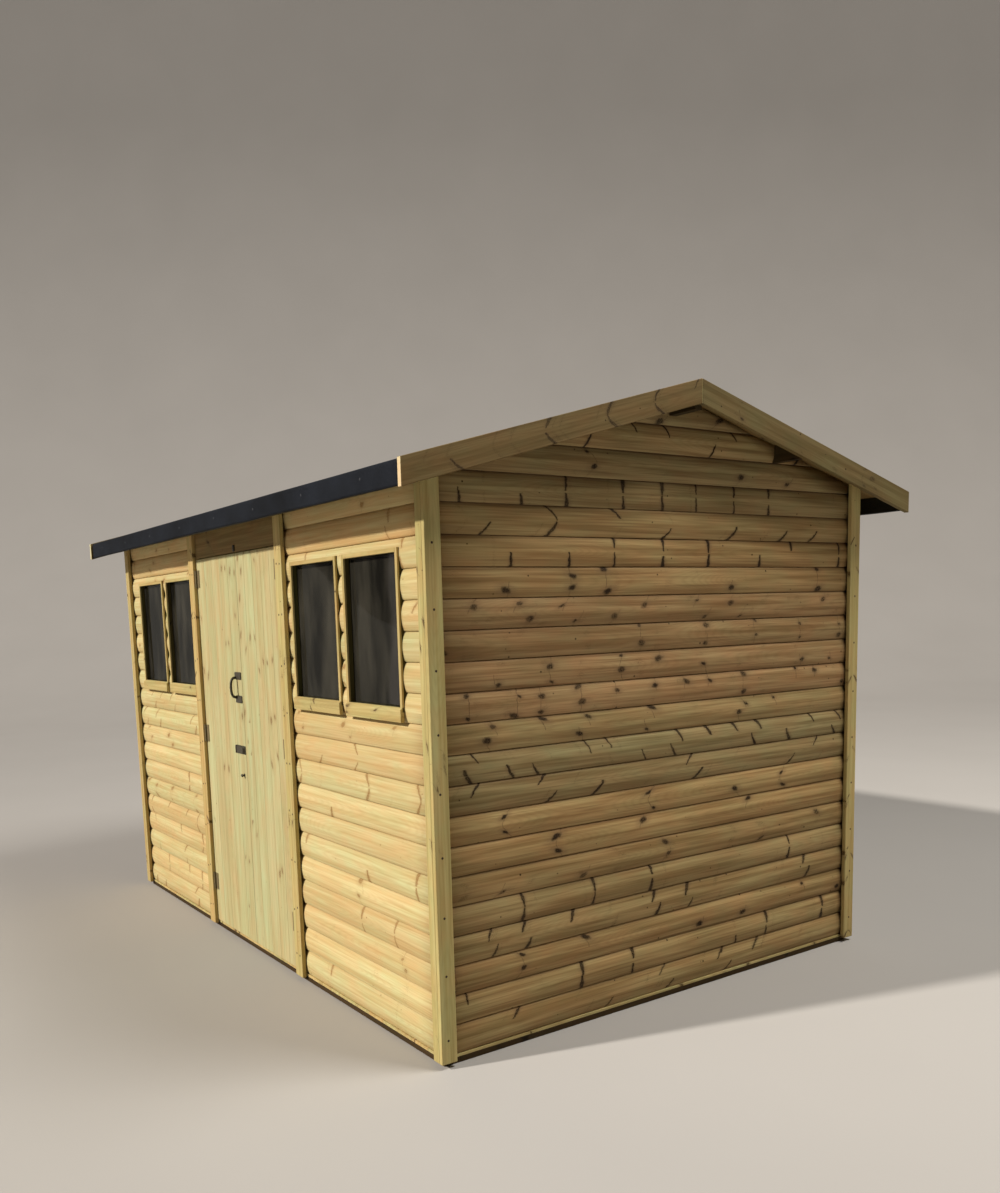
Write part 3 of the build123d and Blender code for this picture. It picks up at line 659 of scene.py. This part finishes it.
# %% Where the panes are
LINER = 0.016
CLEAR = 0.0005
panes = {}
for side in ("left", "right"):
    corners = read(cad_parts["window_glass_" + side].data.vertices, "co", 3)
    split = (corners[:, 0].min() + corners[:, 0].max()) / 2
    halves = [corners[corners[:, 0] < split], corners[corners[:, 0] > split]]
    panes[side] = [(h[:, 0].min(), h[:, 0].max(), h[:, 2].min(), h[:, 2].max()) for h in halves]
print("panes", panes["right"])

# %% Front, back and gable boards
# The top boards of the front tend to its brownest tone, as painted shade under the eaves
FRONT_TONES_SHADED_TOP = ((0.0, 0.5), (1.86, 0.4), (1.92, 1.0))
# The gable's lowest boards are golden, which is painted warm light bounced up from the ground;
# those at waist height are grey-green, those above them pinkish
GABLE_TONES_AND_BOUNCE = ((0.0, 0.45), (0.85, 0.45), (0.95, 0.12), (1.15, 0.15), (1.25, 0.85), (1.6, 0.8), (1.9, 0.3))
eaves_top = roof_under_ridge - SLOPE * abs(span("front_wall_left")[0][1]) - 0.002
for side in ("left", "right"):
    low, high = span("front_wall_" + side)
    edge = LINER + CLEAR
    openings = [(a - edge, b + edge, z0 - edge, z1 + edge) for a, b, z0, z1 in panes[side]]
    boards = Boards()
    clad(boards, (0, high[1], wall_bottom), (0, -1, 0), (1, 0, 0),
         wall_rows(low[0], high[0], eaves_top, openings), trend=FRONT_TONES_SHADED_TOP)
    boards.build("boards_front_" + side, front_wood, "shed", "cladding", "front_wall_" + side)

low, high = span("back_wall")
boards = Boards()
clad(boards, (0, low[1], wall_bottom), (0, 1, 0), (1, 0, 0), wall_rows(low[0], high[0], eaves_top))
boards.build("boards_back", gable_wood, "shed", "cladding", "back_wall")

for side, sign in (("right", 1), ("left", -1)):
    low, high = span(side + "_gable_wall")
    boards = Boards()
    clad(boards, (low[0] if sign > 0 else high[0], 0, wall_bottom), (sign, 0, 0), (0, 1, 0),
         gable_rows(high[1], roof_under_ridge - 0.002), trend=GABLE_TONES_AND_BOUNCE, loose=0.3)
    boards.build("boards_gable_" + side, gable_wood, "shed", "cladding", side + "_gable_wall")

# %% [markdown]
# ## Windows
# Each pane sits in a liner of four thin boards that passes through the wall and stands 8 mm
# proud of it. Its front edge is pale like the strips; the reveal behind it and the bead are darkened
# as painted shade. A sill bar with a bevelled top covers the lower edge, and a slim bead holds the
# glass from inside.

# %% Liners, sills and beads
FRONT_OF_LINER = -1.200
LIP_END = -1.191
BACK_OF_LINER = -1.126
BACK_OF_SILL = 1.1925
BEAD = 0.008

def surround(boards, hole, wide, y, outline):
    """Two uprights and two rails between them, round the hole x0, x1, z0, z1."""
    x0, x1, z0, z1 = hole
    for x in (x0 - wide / 2, x1 + wide / 2):
        timber(boards, (x, y, z0 - wide), (x, y, z1 + wide), (0, 1, 0), outline)
    for z in (z0 - wide / 2, z1 + wide / 2):
        timber(boards, (x0, y, z), (x1, y, z), (0, 1, 0), outline)

for side in ("left", "right"):
    boards, reveals = Boards(), Boards()
    front, foot = span("window_frame_" + side)[0][1:]
    bead_y = span("window_glass_" + side)[1][1] + BEAD / 2
    for a, b, z0, z1 in panes[side]:
        for holder, y0, y1 in ((boards, FRONT_OF_LINER, LIP_END), (reveals, LIP_END, BACK_OF_LINER)):
            surround(holder, (a, b, z0, z1), LINER, (y0 + y1) / 2, eased(y1 - y0, LINER, 0.0015))
        surround(reveals, (a + BEAD, b - BEAD, z0 + BEAD, z1 - BEAD), BEAD, bead_y, eased(BEAD, BEAD, 0.002))
        # Sill bar: (outward, height) outline with a bevelled top and an eased lower edge
        top, nose = z0 + 0.001, -front
        sill = np.array([(BACK_OF_SILL, foot), (nose - 0.0015, foot), (nose, foot + 0.0015),
                         (nose, top - 0.009), (nose - 0.0015, top - 0.0065), (nose - 0.0085, top),
                         (BACK_OF_SILL, top)])
        ends = np.array([a - LINER, a - LINER + 0.002, b + LINER - 0.002, b + LINER])
        shrink = np.array([0.96, 1.0, 1.0, 0.96])[:, None, None]
        section = sill.mean(0) + shrink * (sill - sill.mean(0))
        rings = np.stack([np.broadcast_to(ends[:, None], section.shape[:2]), -section[..., 0],
                          section[..., 1]], -1)
        grain = np.stack([rings[..., 0] - (a + b) / 2, rings[..., 2] - (top + foot) / 2, section[..., 0]], -1)
        boards.add(rings, grain, chances() * (0.5, 1.0, 1.0))
    boards.build("window_surround_" + side, strip_wood, "shed", "cover_strips", "window_frame_" + side)
    reveals.build("window_reveals_" + side, shaded_reveal_wood, "shed", "cover_strips")

# %% [markdown]
# ## Doors
# A leaf is five matchboards with a V joint between them, held by three ledges and two braces
# behind. The V is a 2 mm chamfer on the front edge of each board, so the joint is real and takes
# a faint shadow.

# %% Door leaves
LEDGE = 0.095
LEDGE_DEEP = 0.020
LEDGE_FROM_FOOT = 0.130
LEDGE_FROM_HEAD = 0.100
LEDGE_CLEAR = {"meeting": 0.008, "hung": 0.044}
BRACE = 0.080
V = 0.002
ARRIS = 0.001
END_EASE = 0.0015
MEET = 0.0015
GAP = 0.0001
DOOR_FACE = -1.194
DOOR_BACK = -1.177
BOARDS_PER_LEAF = 5
for side, sign in (("left", -1), ("right", 1)):
    low, high = span("door_" + side)
    # Each leaf reaches a little nearer to the other one than its solid does
    (low if sign > 0 else high)[0] -= sign * MEET
    boards = Boards()
    width = (high[0] - low[0]) / BOARDS_PER_LEAF
    for index in range(BOARDS_PER_LEAF):
        x0 = low[0] + index * width
        x1 = x0 + width
        left_v = V if index else ARRIS
        right_v = V if index < BOARDS_PER_LEAF - 1 else ARRIS
        outline = np.array([(x0 + GAP, DOOR_BACK), (x0 + GAP, DOOR_FACE + left_v),
                            (x0 + left_v, DOOR_FACE), (x1 - right_v, DOOR_FACE),
                            (x1 - GAP, DOOR_FACE + right_v), (x1 - GAP, DOOR_BACK)])
        ends = np.array([low[2], low[2] + END_EASE, high[2] - END_EASE, high[2]])
        inset = np.array([ARRIS, 0.0, 0.0, ARRIS])[:, None] * (outline[:, 1] < DOOR_BACK - 0.001)
        rings = np.stack([np.broadcast_to(outline[:, 0], inset.shape), outline[:, 1] + inset,
                          np.broadcast_to(ends[:, None], inset.shape)], -1)
        grain = np.stack([rings[..., 2] - 1.0, rings[..., 0] - (x0 + x1) / 2, rings[..., 1] - DOOR_FACE], -1)
        # Sawn clear of the pith, so these boards show round knots and no streaks
        boards.add(rings, grain, chances() * (1.0, 1.0, 0.45) + (0.0, 0.0, 0.55))
    meeting, hung = (low[0], high[0]) if sign > 0 else (high[0], low[0])
    inner, outer = meeting + sign * LEDGE_CLEAR["meeting"], hung - sign * LEDGE_CLEAR["hung"]
    ledge_y = DOOR_BACK + LEDGE_DEEP / 2
    foots = np.linspace(low[2] + LEDGE_FROM_FOOT, high[2] - LEDGE_FROM_HEAD - LEDGE, 3)
    for z in foots + LEDGE / 2:
        timber(boards, (inner, ledge_y, z), (outer, ledge_y, z), (0, 0, 1), eased(LEDGE, LEDGE_DEEP, 0.003))
    for foot, head in zip(foots[:-1], foots[1:]):
        start = np.array([outer - sign * BRACE / 2, ledge_y, foot + LEDGE])
        end = np.array([inner + sign * BRACE / 2, ledge_y, head])
        run = (end - start) / np.linalg.norm(end - start)
        across = np.cross(run, (0, 1, 0))
        timber(boards, start, end, across, eased(BRACE * abs(run[2]), LEDGE_DEEP, 0.003),
               cut=-across[2] / run[2])
    boards.build("leaf_" + side, door_wood, side + "_door", "door_boards", "door_" + side)

# %% [markdown]
# ## Roof and floor boards
# From below, the roof shows matchboards running from ridge to eaves, and the floor shows boards
# across its bearers. Both are plain boards side by side with a narrow joint.

# %% Roof and floor boards
BOARD = 0.116
JOINT = 0.0012
ROOF_DEEP = 0.012
FROM_RIDGE = 0.003

def planks(boards, low, high, path, deep):
    """Boards laid side by side from low x to high x. path holds the two ends as (y, z) of the
    middle of the board's thickness."""
    count = round((high - low) / BOARD)
    width = (high - low) / count
    outline = eased(width - JOINT, deep - 0.0004, 0.0015, steps=2)
    for index in range(count):
        x = low + (index + 0.5) * width
        timber(boards, (x, *path[0]), (x, *path[1]), (1, 0, 0), outline)

for side, sign in (("front", -1), ("back", 1)):
    low, high = span("roof_boards_" + side)
    half_deep = ROOF_DEEP / 2 * math.sqrt(1 + SLOPE ** 2)
    path = [(sign * y, high[2] - half_deep - SLOPE * y)
            for y in (FROM_RIDGE, max(abs(low[1]), abs(high[1])) - 0.001)]
    boards = Boards()
    planks(boards, low[0], high[0], path, ROOF_DEEP)
    boards.build("roof_planks_" + side, header_wood, "shed", "roof_boards", "roof_boards_" + side)

low, high = span("floor_boards")
boards = Boards()
middle = (low[2] + high[2]) / 2
planks(boards, low[0], high[0], ((low[1], middle), (high[1], middle)), high[2] - low[2])
boards.build("floor_planks", sawn_wood, "shed", "floor", "floor_boards")

# %% [markdown]
# ## Felt
# Felt comes in metre-wide rolls. A lower sheet runs along the eaves and is folded down over the
# fascia, an upper sheet laps over it, and a cap strip is folded over the ridge. A sheet is the
# surface P(x, s) where s is the way down the roof: straight, then round the fold, then down. It
# is lifted where it lies on another sheet, and its free edge wanders by a few millimetres.

# %% Felt sheets
felt_low, felt_high = span("roof_felt_front")
FELT = 0.0024
FOLD = 0.012
BUCKLE = 0.0004
turn = math.atan(SLOPE)
corner_y = abs(felt_low[1])
corner_z = felt_high[2] - SLOPE * corner_y
slack = FOLD * math.tan((math.pi / 2 - turn) / 2)
straight_end = math.hypot(corner_y, felt_high[2] - corner_z) - slack
arc = FOLD * (math.pi / 2 - turn)
hang = corner_z - slack - felt_low[2]

def roof_line(s):
    """y, z and outward normal at the way s from the ridge down the outer face of the felt."""
    angle = turn + np.clip((s - straight_end) / FOLD, 0, math.pi / 2 - turn)
    normal = np.stack([np.sin(angle), np.cos(angle)], -1)
    flat = np.minimum(s, straight_end)
    y = flat * math.cos(turn) + FOLD * (np.sin(angle) - math.sin(turn))
    z = felt_high[2] - flat * math.sin(turn) + FOLD * (np.cos(angle) - math.cos(turn))
    return y, z - np.maximum(s - straight_end - arc, 0), normal

def ripple(x, s, seed):
    """Soft unevenness: a sum of four sine waves of x and s, between about -1 and 1."""
    phase = np.random.default_rng(seed).uniform(0, 6.28, 4)
    waves = ((2.1, 0.7), (5.3, -3.0), (9.7, 4.1), (17.0, 1.3))
    return sum(np.sin(a * x + b * s + p) * w for (a, b), p, w in zip(waves, phase, (0.4, 0.3, 0.2, 0.12)))

def sheet(name, s, lift, sign, seed, wander, nodes=()):
    """A closed sheet: its outer grid, the same grid FELT lower, and the rim between them."""
    x = np.linspace(felt_low[0] + CLEAR, felt_high[0] - CLEAR, 120)
    grid_x, grid_s = np.meshgrid(x, s, indexing="ij")
    share = (grid_s - s[0]) / (s[-1] - s[0])
    grid_s = grid_s + wander * ripple(grid_x, 0 * grid_s, seed) * share ** 8
    y, z, normal = roof_line(np.abs(grid_s))
    flip = np.where(grid_s < 0, -1.0, 1.0) * sign
    way = np.stack([0 * y, normal[..., 0] * flip, normal[..., 1]], -1)
    outer = np.stack([grid_x, y * flip, z], -1)
    up = lift + BUCKLE * ripple(grid_x, grid_s, seed + 1)
    points = np.concatenate([(outer + (up - depth)[..., None] * way).reshape(-1, 3) for depth in (0.0, FELT)])
    top = np.arange(grid_x.size).reshape(grid_x.shape)
    rim = np.concatenate([top[:, 0], top[-1, 1:], top[-2::-1, -1], top[0, -2:0:-1]])
    under = rim + top.size
    walls = np.stack([rim, np.roll(rim, -1), np.roll(under, -1), under], -1)
    faces = np.concatenate([cells(top), cells(top + top.size), walls]).tolist()
    make_piece(name, points, faces, felt, "shed", "roof_felt", nodes)

LAP_AT = 0.46
LAP = 0.075
CAP = 0.15
for side, sign in (("front", -1), ("back", 1)):
    s = np.concatenate([np.linspace(LAP_AT, straight_end, 30), straight_end + np.linspace(0, arc, 7)[1:],
                        straight_end + arc + np.linspace(0, hang, 9)[1:]])
    sheet("felt_lower_" + side, s, 0.0, sign, 3 + sign, -0.003, ("roof_felt_" + side,))
    s = np.linspace(0.02, LAP_AT + LAP, 24)
    sheet("felt_upper_" + side, s, FELT * np.clip((s - LAP_AT + 0.05) / 0.05, 0, 1), sign, 9 + sign, 0.003)
s = np.linspace(-CAP, CAP, 31)
sheet("felt_ridge_cap", s, FELT - 0.0016 * np.exp(-(s / 0.02) ** 2), 1, 21, 0.002)

# %% Felt clouts
CLOUT_STEP = 0.155
CLOUT_STRAY = 0.01
BELOW_FOLD = 0.038
VERGE = 0.02
clout = dome(0.005, 0.0014)
rows = np.arange(felt_low[0] + 0.06, felt_high[0] - 0.04, CLOUT_STEP)
for side, sign in (("front", -1), ("back", 1)):
    # One in three on the fascia, then two rows along the laps and one up each verge
    sparse = rows[1::3]
    stray = rng.uniform(-CLOUT_STRAY, CLOUT_STRAY, (len(sparse), 2))
    places = np.stack([sparse + stray[:, 0], np.full(len(sparse), sign * corner_y),
                       corner_z - BELOW_FOLD + 0.4 * stray[:, 1]], 1)
    studs("clouts_fascia_" + side, zinc, "shed", "roof_felt", places, (0, sign, 0), clout)
    spots = []
    for at in (LAP_AT + LAP - 0.03, CAP - 0.02):
        y, z, normal = roof_line(np.array(at))
        spots += [(x, sign * (y + FELT * normal[0]), z + FELT * normal[1])
                  for x in rows + rng.uniform(-CLOUT_STRAY, CLOUT_STRAY, len(rows))]
    for x in (felt_low[0] + VERGE, felt_high[0] - VERGE):
        for at in np.arange(0.62, 1.30, 0.16):
            y, z, normal = roof_line(np.array(at))
            spots.append((x, sign * y, z))
    studs("clouts_roof_" + side, zinc, "shed", "roof_felt", spots,
          (0, sign * math.sin(turn), math.cos(turn)), clout)

# %% [markdown]
# ## Nails in the strips
# The cover strips are nailed through every second board. A wire nail's head is driven level with
# the wood, so only a small brown dot shows. It is drawn as a low dome 10 mm wide, which is wider
# than such a head is, so that it shows in the render.

# %% Strip nails
NAIL_FROM_EDGE = 0.02
GABLE_STRIP = (1.7525, 1.182)
nail = dome(0.0050, 0.0005)
heights = np.arange(0.12, 2.12, COVER * 2)
for side, sign in (("left", -1), ("right", 1)):
    places = [(sign * GABLE_STRIP[0], face * GABLE_STRIP[1], z + rng.uniform(-0.012, 0.012))
              for z in heights for face in (-1, 1)]
    studs("nails_gable_strips_" + side, rust, "shed", "cover_strips", places, (sign, 0, 0), nail, sides=8)
    low, high = span("door_strip_" + side)
    places = [(x, low[1], z + rng.uniform(-0.01, 0.01))
              for z in heights for x in (low[0] + NAIL_FROM_EDGE, high[0] - NAIL_FROM_EDGE)]
    studs("nails_door_strip_" + side, rust, "shed", "cover_strips", places, (0, -1, 0), nail, sides=8)

# %% [markdown]
# ## Handle, hasp, button and hinges
# The pull handle is a bowed bar between two feet: a circle carried along a flattened arch, which
# swells where it meets the feet. The hasp, the knob below it and the turn button over the doors
# are small plates and turned parts. The handle and the button have screw heads.

# %% Plates and turned shells
DOOR_PLANE = -1.1943
EASE = 0.0012

def plate(x, z, width, height, deep, round_by):
    """A plate on the door plane: a rounded outline at three depths, the last one eased."""
    depths = np.array([0.0, deep - EASE, deep])
    flat = eased(width, height, round_by, 6) * (
        1 - 2 * np.array([0.0, 0.0, EASE])[:, None, None] / np.array([width, height]))
    return np.stack([x + flat[..., 0], np.broadcast_to(DOOR_PLANE - depths[:, None], flat.shape[:2]),
                     z + flat[..., 1]], -1)

def fitting(name, shells, body, node):
    """Closes each stack of rings into a shell and puts them all in one black piece."""
    holder = Boards()
    for rings in shells:
        holder.add(rings, np.zeros_like(rings), (0, 0, 0), rounded=True)
    make_piece(name, np.concatenate(holder.points), holder.faces, black, body, "black_iron", (node,),
               holder.smooth)

# %% Pull handle
FOOT = 0.036
BAR = 0.0062
BAR_ASIDE = 0.024
SOLE = 0.004
low, high = span("pull_handle")
x, z = (low[0] + high[0]) / 2, (low[2] + high[2]) / 2
t = np.linspace(-0.5, 0.5, 41)
run = (high[2] - low[2] - FOOT) / 2
stand = DOOR_PLANE - low[1] - BAR - 0.001
bow = np.abs(np.cos(t * math.pi)) ** 0.55
path = np.stack([np.full(len(t), x - BAR_ASIDE), DOOR_PLANE - SOLE - (stand - SOLE) * bow,
                 z + (run - 0.010) * np.sin(t * math.pi)], 1)
ahead = np.gradient(path, axis=0)
ahead /= np.linalg.norm(ahead, axis=1)[:, None]
aside = np.array([1.0, 0.0, 0.0])
outward = np.cross(ahead, aside)
swell = BAR + 0.0010 * np.abs(2 * t) ** 6
cos, sin = circle(16)
section = cos[None, :, None] * aside + sin[None, :, None] * outward[:, None, :]
tube = path[:, None, :] + swell[:, None, None] * section
feet = [plate(x, z + end * run, high[0] - low[0], FOOT, 0.0045, 0.006) for end in (-1, 1)]
fitting("handle_bar", [tube, *feet], "left_door", "pull_handle")
places = [(x + dx, DOOR_PLANE - 0.0044, z + end * run) for end in (-1, 1) for dx in (0.000, 0.028)]
studs("handle_screws", black, "left_door", "black_iron", places, (0, -1, 0), dome(0.0036, 0.0012), sides=10)

# %% Hasp, knob and turn button
PIVOT = 0.0045
low, high = span("hasp_and_knob")
middle, wide, z = (low[0] + high[0]) / 2, high[0] - low[0], high[2] - 0.021
# A base plate, a strap over it, a raised block at the strap's end, and an upright round knuckle
shells = [plate(middle, z, wide, 0.042, 0.0030, 0.004),
          plate(middle + 0.004, z, wide - 0.024, 0.034, 0.0070, 0.006),
          plate(high[0] - 0.026, z, 0.026, 0.030, 0.0115, 0.008)]
cos, sin = circle(14)
height = np.broadcast_to(np.linspace(z - 0.019, z + 0.019, 7)[:, None], (7, 14))
shells.append(np.stack([*(np.broadcast_to(v, height.shape) for v in (
    low[0] + 0.010 + PIVOT * cos, DOOR_PLANE - 0.0055 + PIVOT * sin)), height], -1))
fitting("hasp_plates", shells, "left_door", "hasp_and_knob")
knob = [(0.0088, 0.0), (0.0088, 0.0015), (0.0050, 0.0035), (0.0045, 0.0070), (0.0070, 0.0100),
        (0.0088, 0.0130), (0.0080, 0.0155), (0.0045, 0.0172), (0.0006, 0.0178)]
places = [(high[0] - 0.034, DOOR_PLANE, low[2] + 0.009)]
studs("knob", black, "left_door", "black_iron", places, (0, -1, 0), knob, sides=20)
low, high = span("turn_button")
x, _, z = (low + high) / 2
button = plate(x, z, high[0] - low[0], high[2] - low[2], 0.006, 0.007)
fitting("turn_button_plate", [button], "shed", "turn_button")
places = [(x, DOOR_PLANE - 0.006, z)]
studs("turn_button_screw", black, "shed", "black_iron", places, (0, -1, 0), dome(0.0035, 0.0015))

# %% Hinges and glass
# The hinges and the panes stay as the solids made them; screws are added to the door plates.
def repaint(node, material):
    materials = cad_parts[node].data.materials
    materials.clear()
    materials.append(material)

HINGE_SCREWS = ((0.012, 0.030), (0.012, -0.030), (0.018, 0.0))
HALF_HINGE = 0.045
for side, sign in (("left", -1), ("right", 1)):
    repaint("door_hinges_" + side, olive)
    repaint("jamb_hinges_" + side, olive)
    repaint("window_glass_" + side, glass)
    low, high = span("door_hinges_" + side)
    inner = low[0] if sign > 0 else high[0]
    places = [(inner + sign * x, DOOR_PLANE - 0.0021, z + dz)
              for z in np.linspace(low[2] + HALF_HINGE, high[2] - HALF_HINGE, 3) for x, dz in HINGE_SCREWS]
    studs("hinge_screws_" + side, olive, side + "_door", "black_iron", places, (0, -1, 0),
          dome(0.0038, 0.0012), sides=10)

# %% [markdown]
# ## Floor, light and camera
# The shed stands on a pale studio floor that curves up far behind it. The key light is a sun that
# comes from the front and a little from the left, so the gable stays in shade as it should. A
# soft light high above the gable side, helped a little by the pale surroundings, fills that
# shade, so each board there is light on top and darker under its bulge. A weak low light stands
# in for sunlit ground and reaches up under the eaves.

# %% Studio floor
BEND_AT = 12
BEND = (14, 16)
WALL_TOP = 40.0
AWAY = np.array([-0.823, 0.552])
ASIDE = np.array([0.552, 0.823])
t = np.linspace(0, math.pi / 2, 40)[1:]
reach = np.concatenate([[-16.0, -8.0, 0.0, 8.0, BEND_AT], BEND_AT + BEND[0] * np.sin(t), [BEND_AT + BEND[0]]])
rise = np.concatenate([np.zeros(5), BEND[1] * (1 - np.cos(t)), [WALL_TOP]])
widths = np.linspace(-40, 40, 9)
flat = reach[:, None, None] * AWAY + widths[None, :, None] * ASIDE
up = np.broadcast_to(rise[:, None, None], (*flat.shape[:2], 1))
points = np.concatenate([flat, up], -1).reshape(-1, 3)
quads = cells(np.arange(len(points)).reshape(len(reach), len(widths)).T)
f = Finish("Pale studio floor")
mottle = f.add("TexNoise", {"Vector": f.add("TexCoord", out="Object"), "Scale": 0.6, "Detail": 3.0})
tint = f.add("Mix", mottle, {6: colour("ABA8A3"), 7: colour("B2AFAA")}, **RGBA)
f.add("OutputMaterial", f.add("BsdfPrincipled", {"Base Color": tint, "Roughness": 0.95}), out=None)
mesh = bpy.data.meshes.new("studio_floor")
mesh.from_pydata(points.tolist(), [], quads.tolist())
mesh.polygons.foreach_set("use_smooth", np.ones(len(quads), bool))
mesh.materials.append(f.material)
floor = bpy.data.objects.new("studio_floor", mesh)
bpy.context.scene.collection.objects.link(floor)
print("studio_floor", len(quads), "faces")

# %% Lights
KEY_FROM = Vector((-0.28, -1.0, 0.63))
LIT_POINT = Vector((0.0, 0.0, 1.4))
AREAS = (("Sky", (4.9, 2.8, 10.6), 1120.0, "F4F0EA"), ("Bounce", (-3.5, -6.0, 0.8), 45.0, "F6E2D8"))
AREA_SIZE = 4.0

def shine(light, way, energy, tint, place=(0, 0, 0)):
    """Puts a light in the scene that shines from the direction way."""
    light.energy = energy
    light.color = colour(tint)[:3]
    lamp = bpy.data.objects.new(light.name, light)
    lamp.location = place
    lamp.rotation_euler = way.to_track_quat("Z", "Y").to_euler()
    bpy.context.scene.collection.objects.link(lamp)

key = bpy.data.lights.new("Key", "SUN")
key.angle = math.radians(2.5)
shine(key, KEY_FROM, 3.95, "FFF8F0")
for name, place, power, tint in AREAS:
    soft = bpy.data.lights.new(name, "AREA")
    soft.size = AREA_SIZE
    shine(soft, Vector(place) - LIT_POINT, power, tint, place)
world = bpy.data.worlds.new("Soft surroundings")
world.use_nodes = True
background = world.node_tree.nodes["Background"]
background.inputs["Color"].default_value = colour("F0E6E4")
background.inputs["Strength"].default_value = 0.09
bpy.context.scene.world = world
bpy.context.scene.view_settings.view_transform = "Standard"
print("lights", 1 + len(AREAS))

# %% Camera
# Solved from the photograph: its focal length in pixels, its shift, its place and its tilt
PHOTO_HEIGHT = 1193
FOCAL_PIXELS = 1027.64
SENSOR = 24.0
camera_data = bpy.data.cameras.new("Camera")
camera_data.sensor_fit = "VERTICAL"
camera_data.sensor_height = SENSOR
camera_data.lens = SENSOR * FOCAL_PIXELS / PHOTO_HEIGHT
camera_data.shift_x = 0.03133
camera_data.shift_y = 0.13106
camera_data.clip_end = 200
camera = bpy.data.objects.new("Camera", camera_data)
camera.location = (4.7859, -3.1167, 1.6513)
camera.rotation_euler = [math.radians(v) for v in (82.4188, 1.7433, 55.9064)]
bpy.context.scene.collection.objects.link(camera)
bpy.context.scene.camera = camera
print("lens", round(camera_data.lens, 2), "mm")
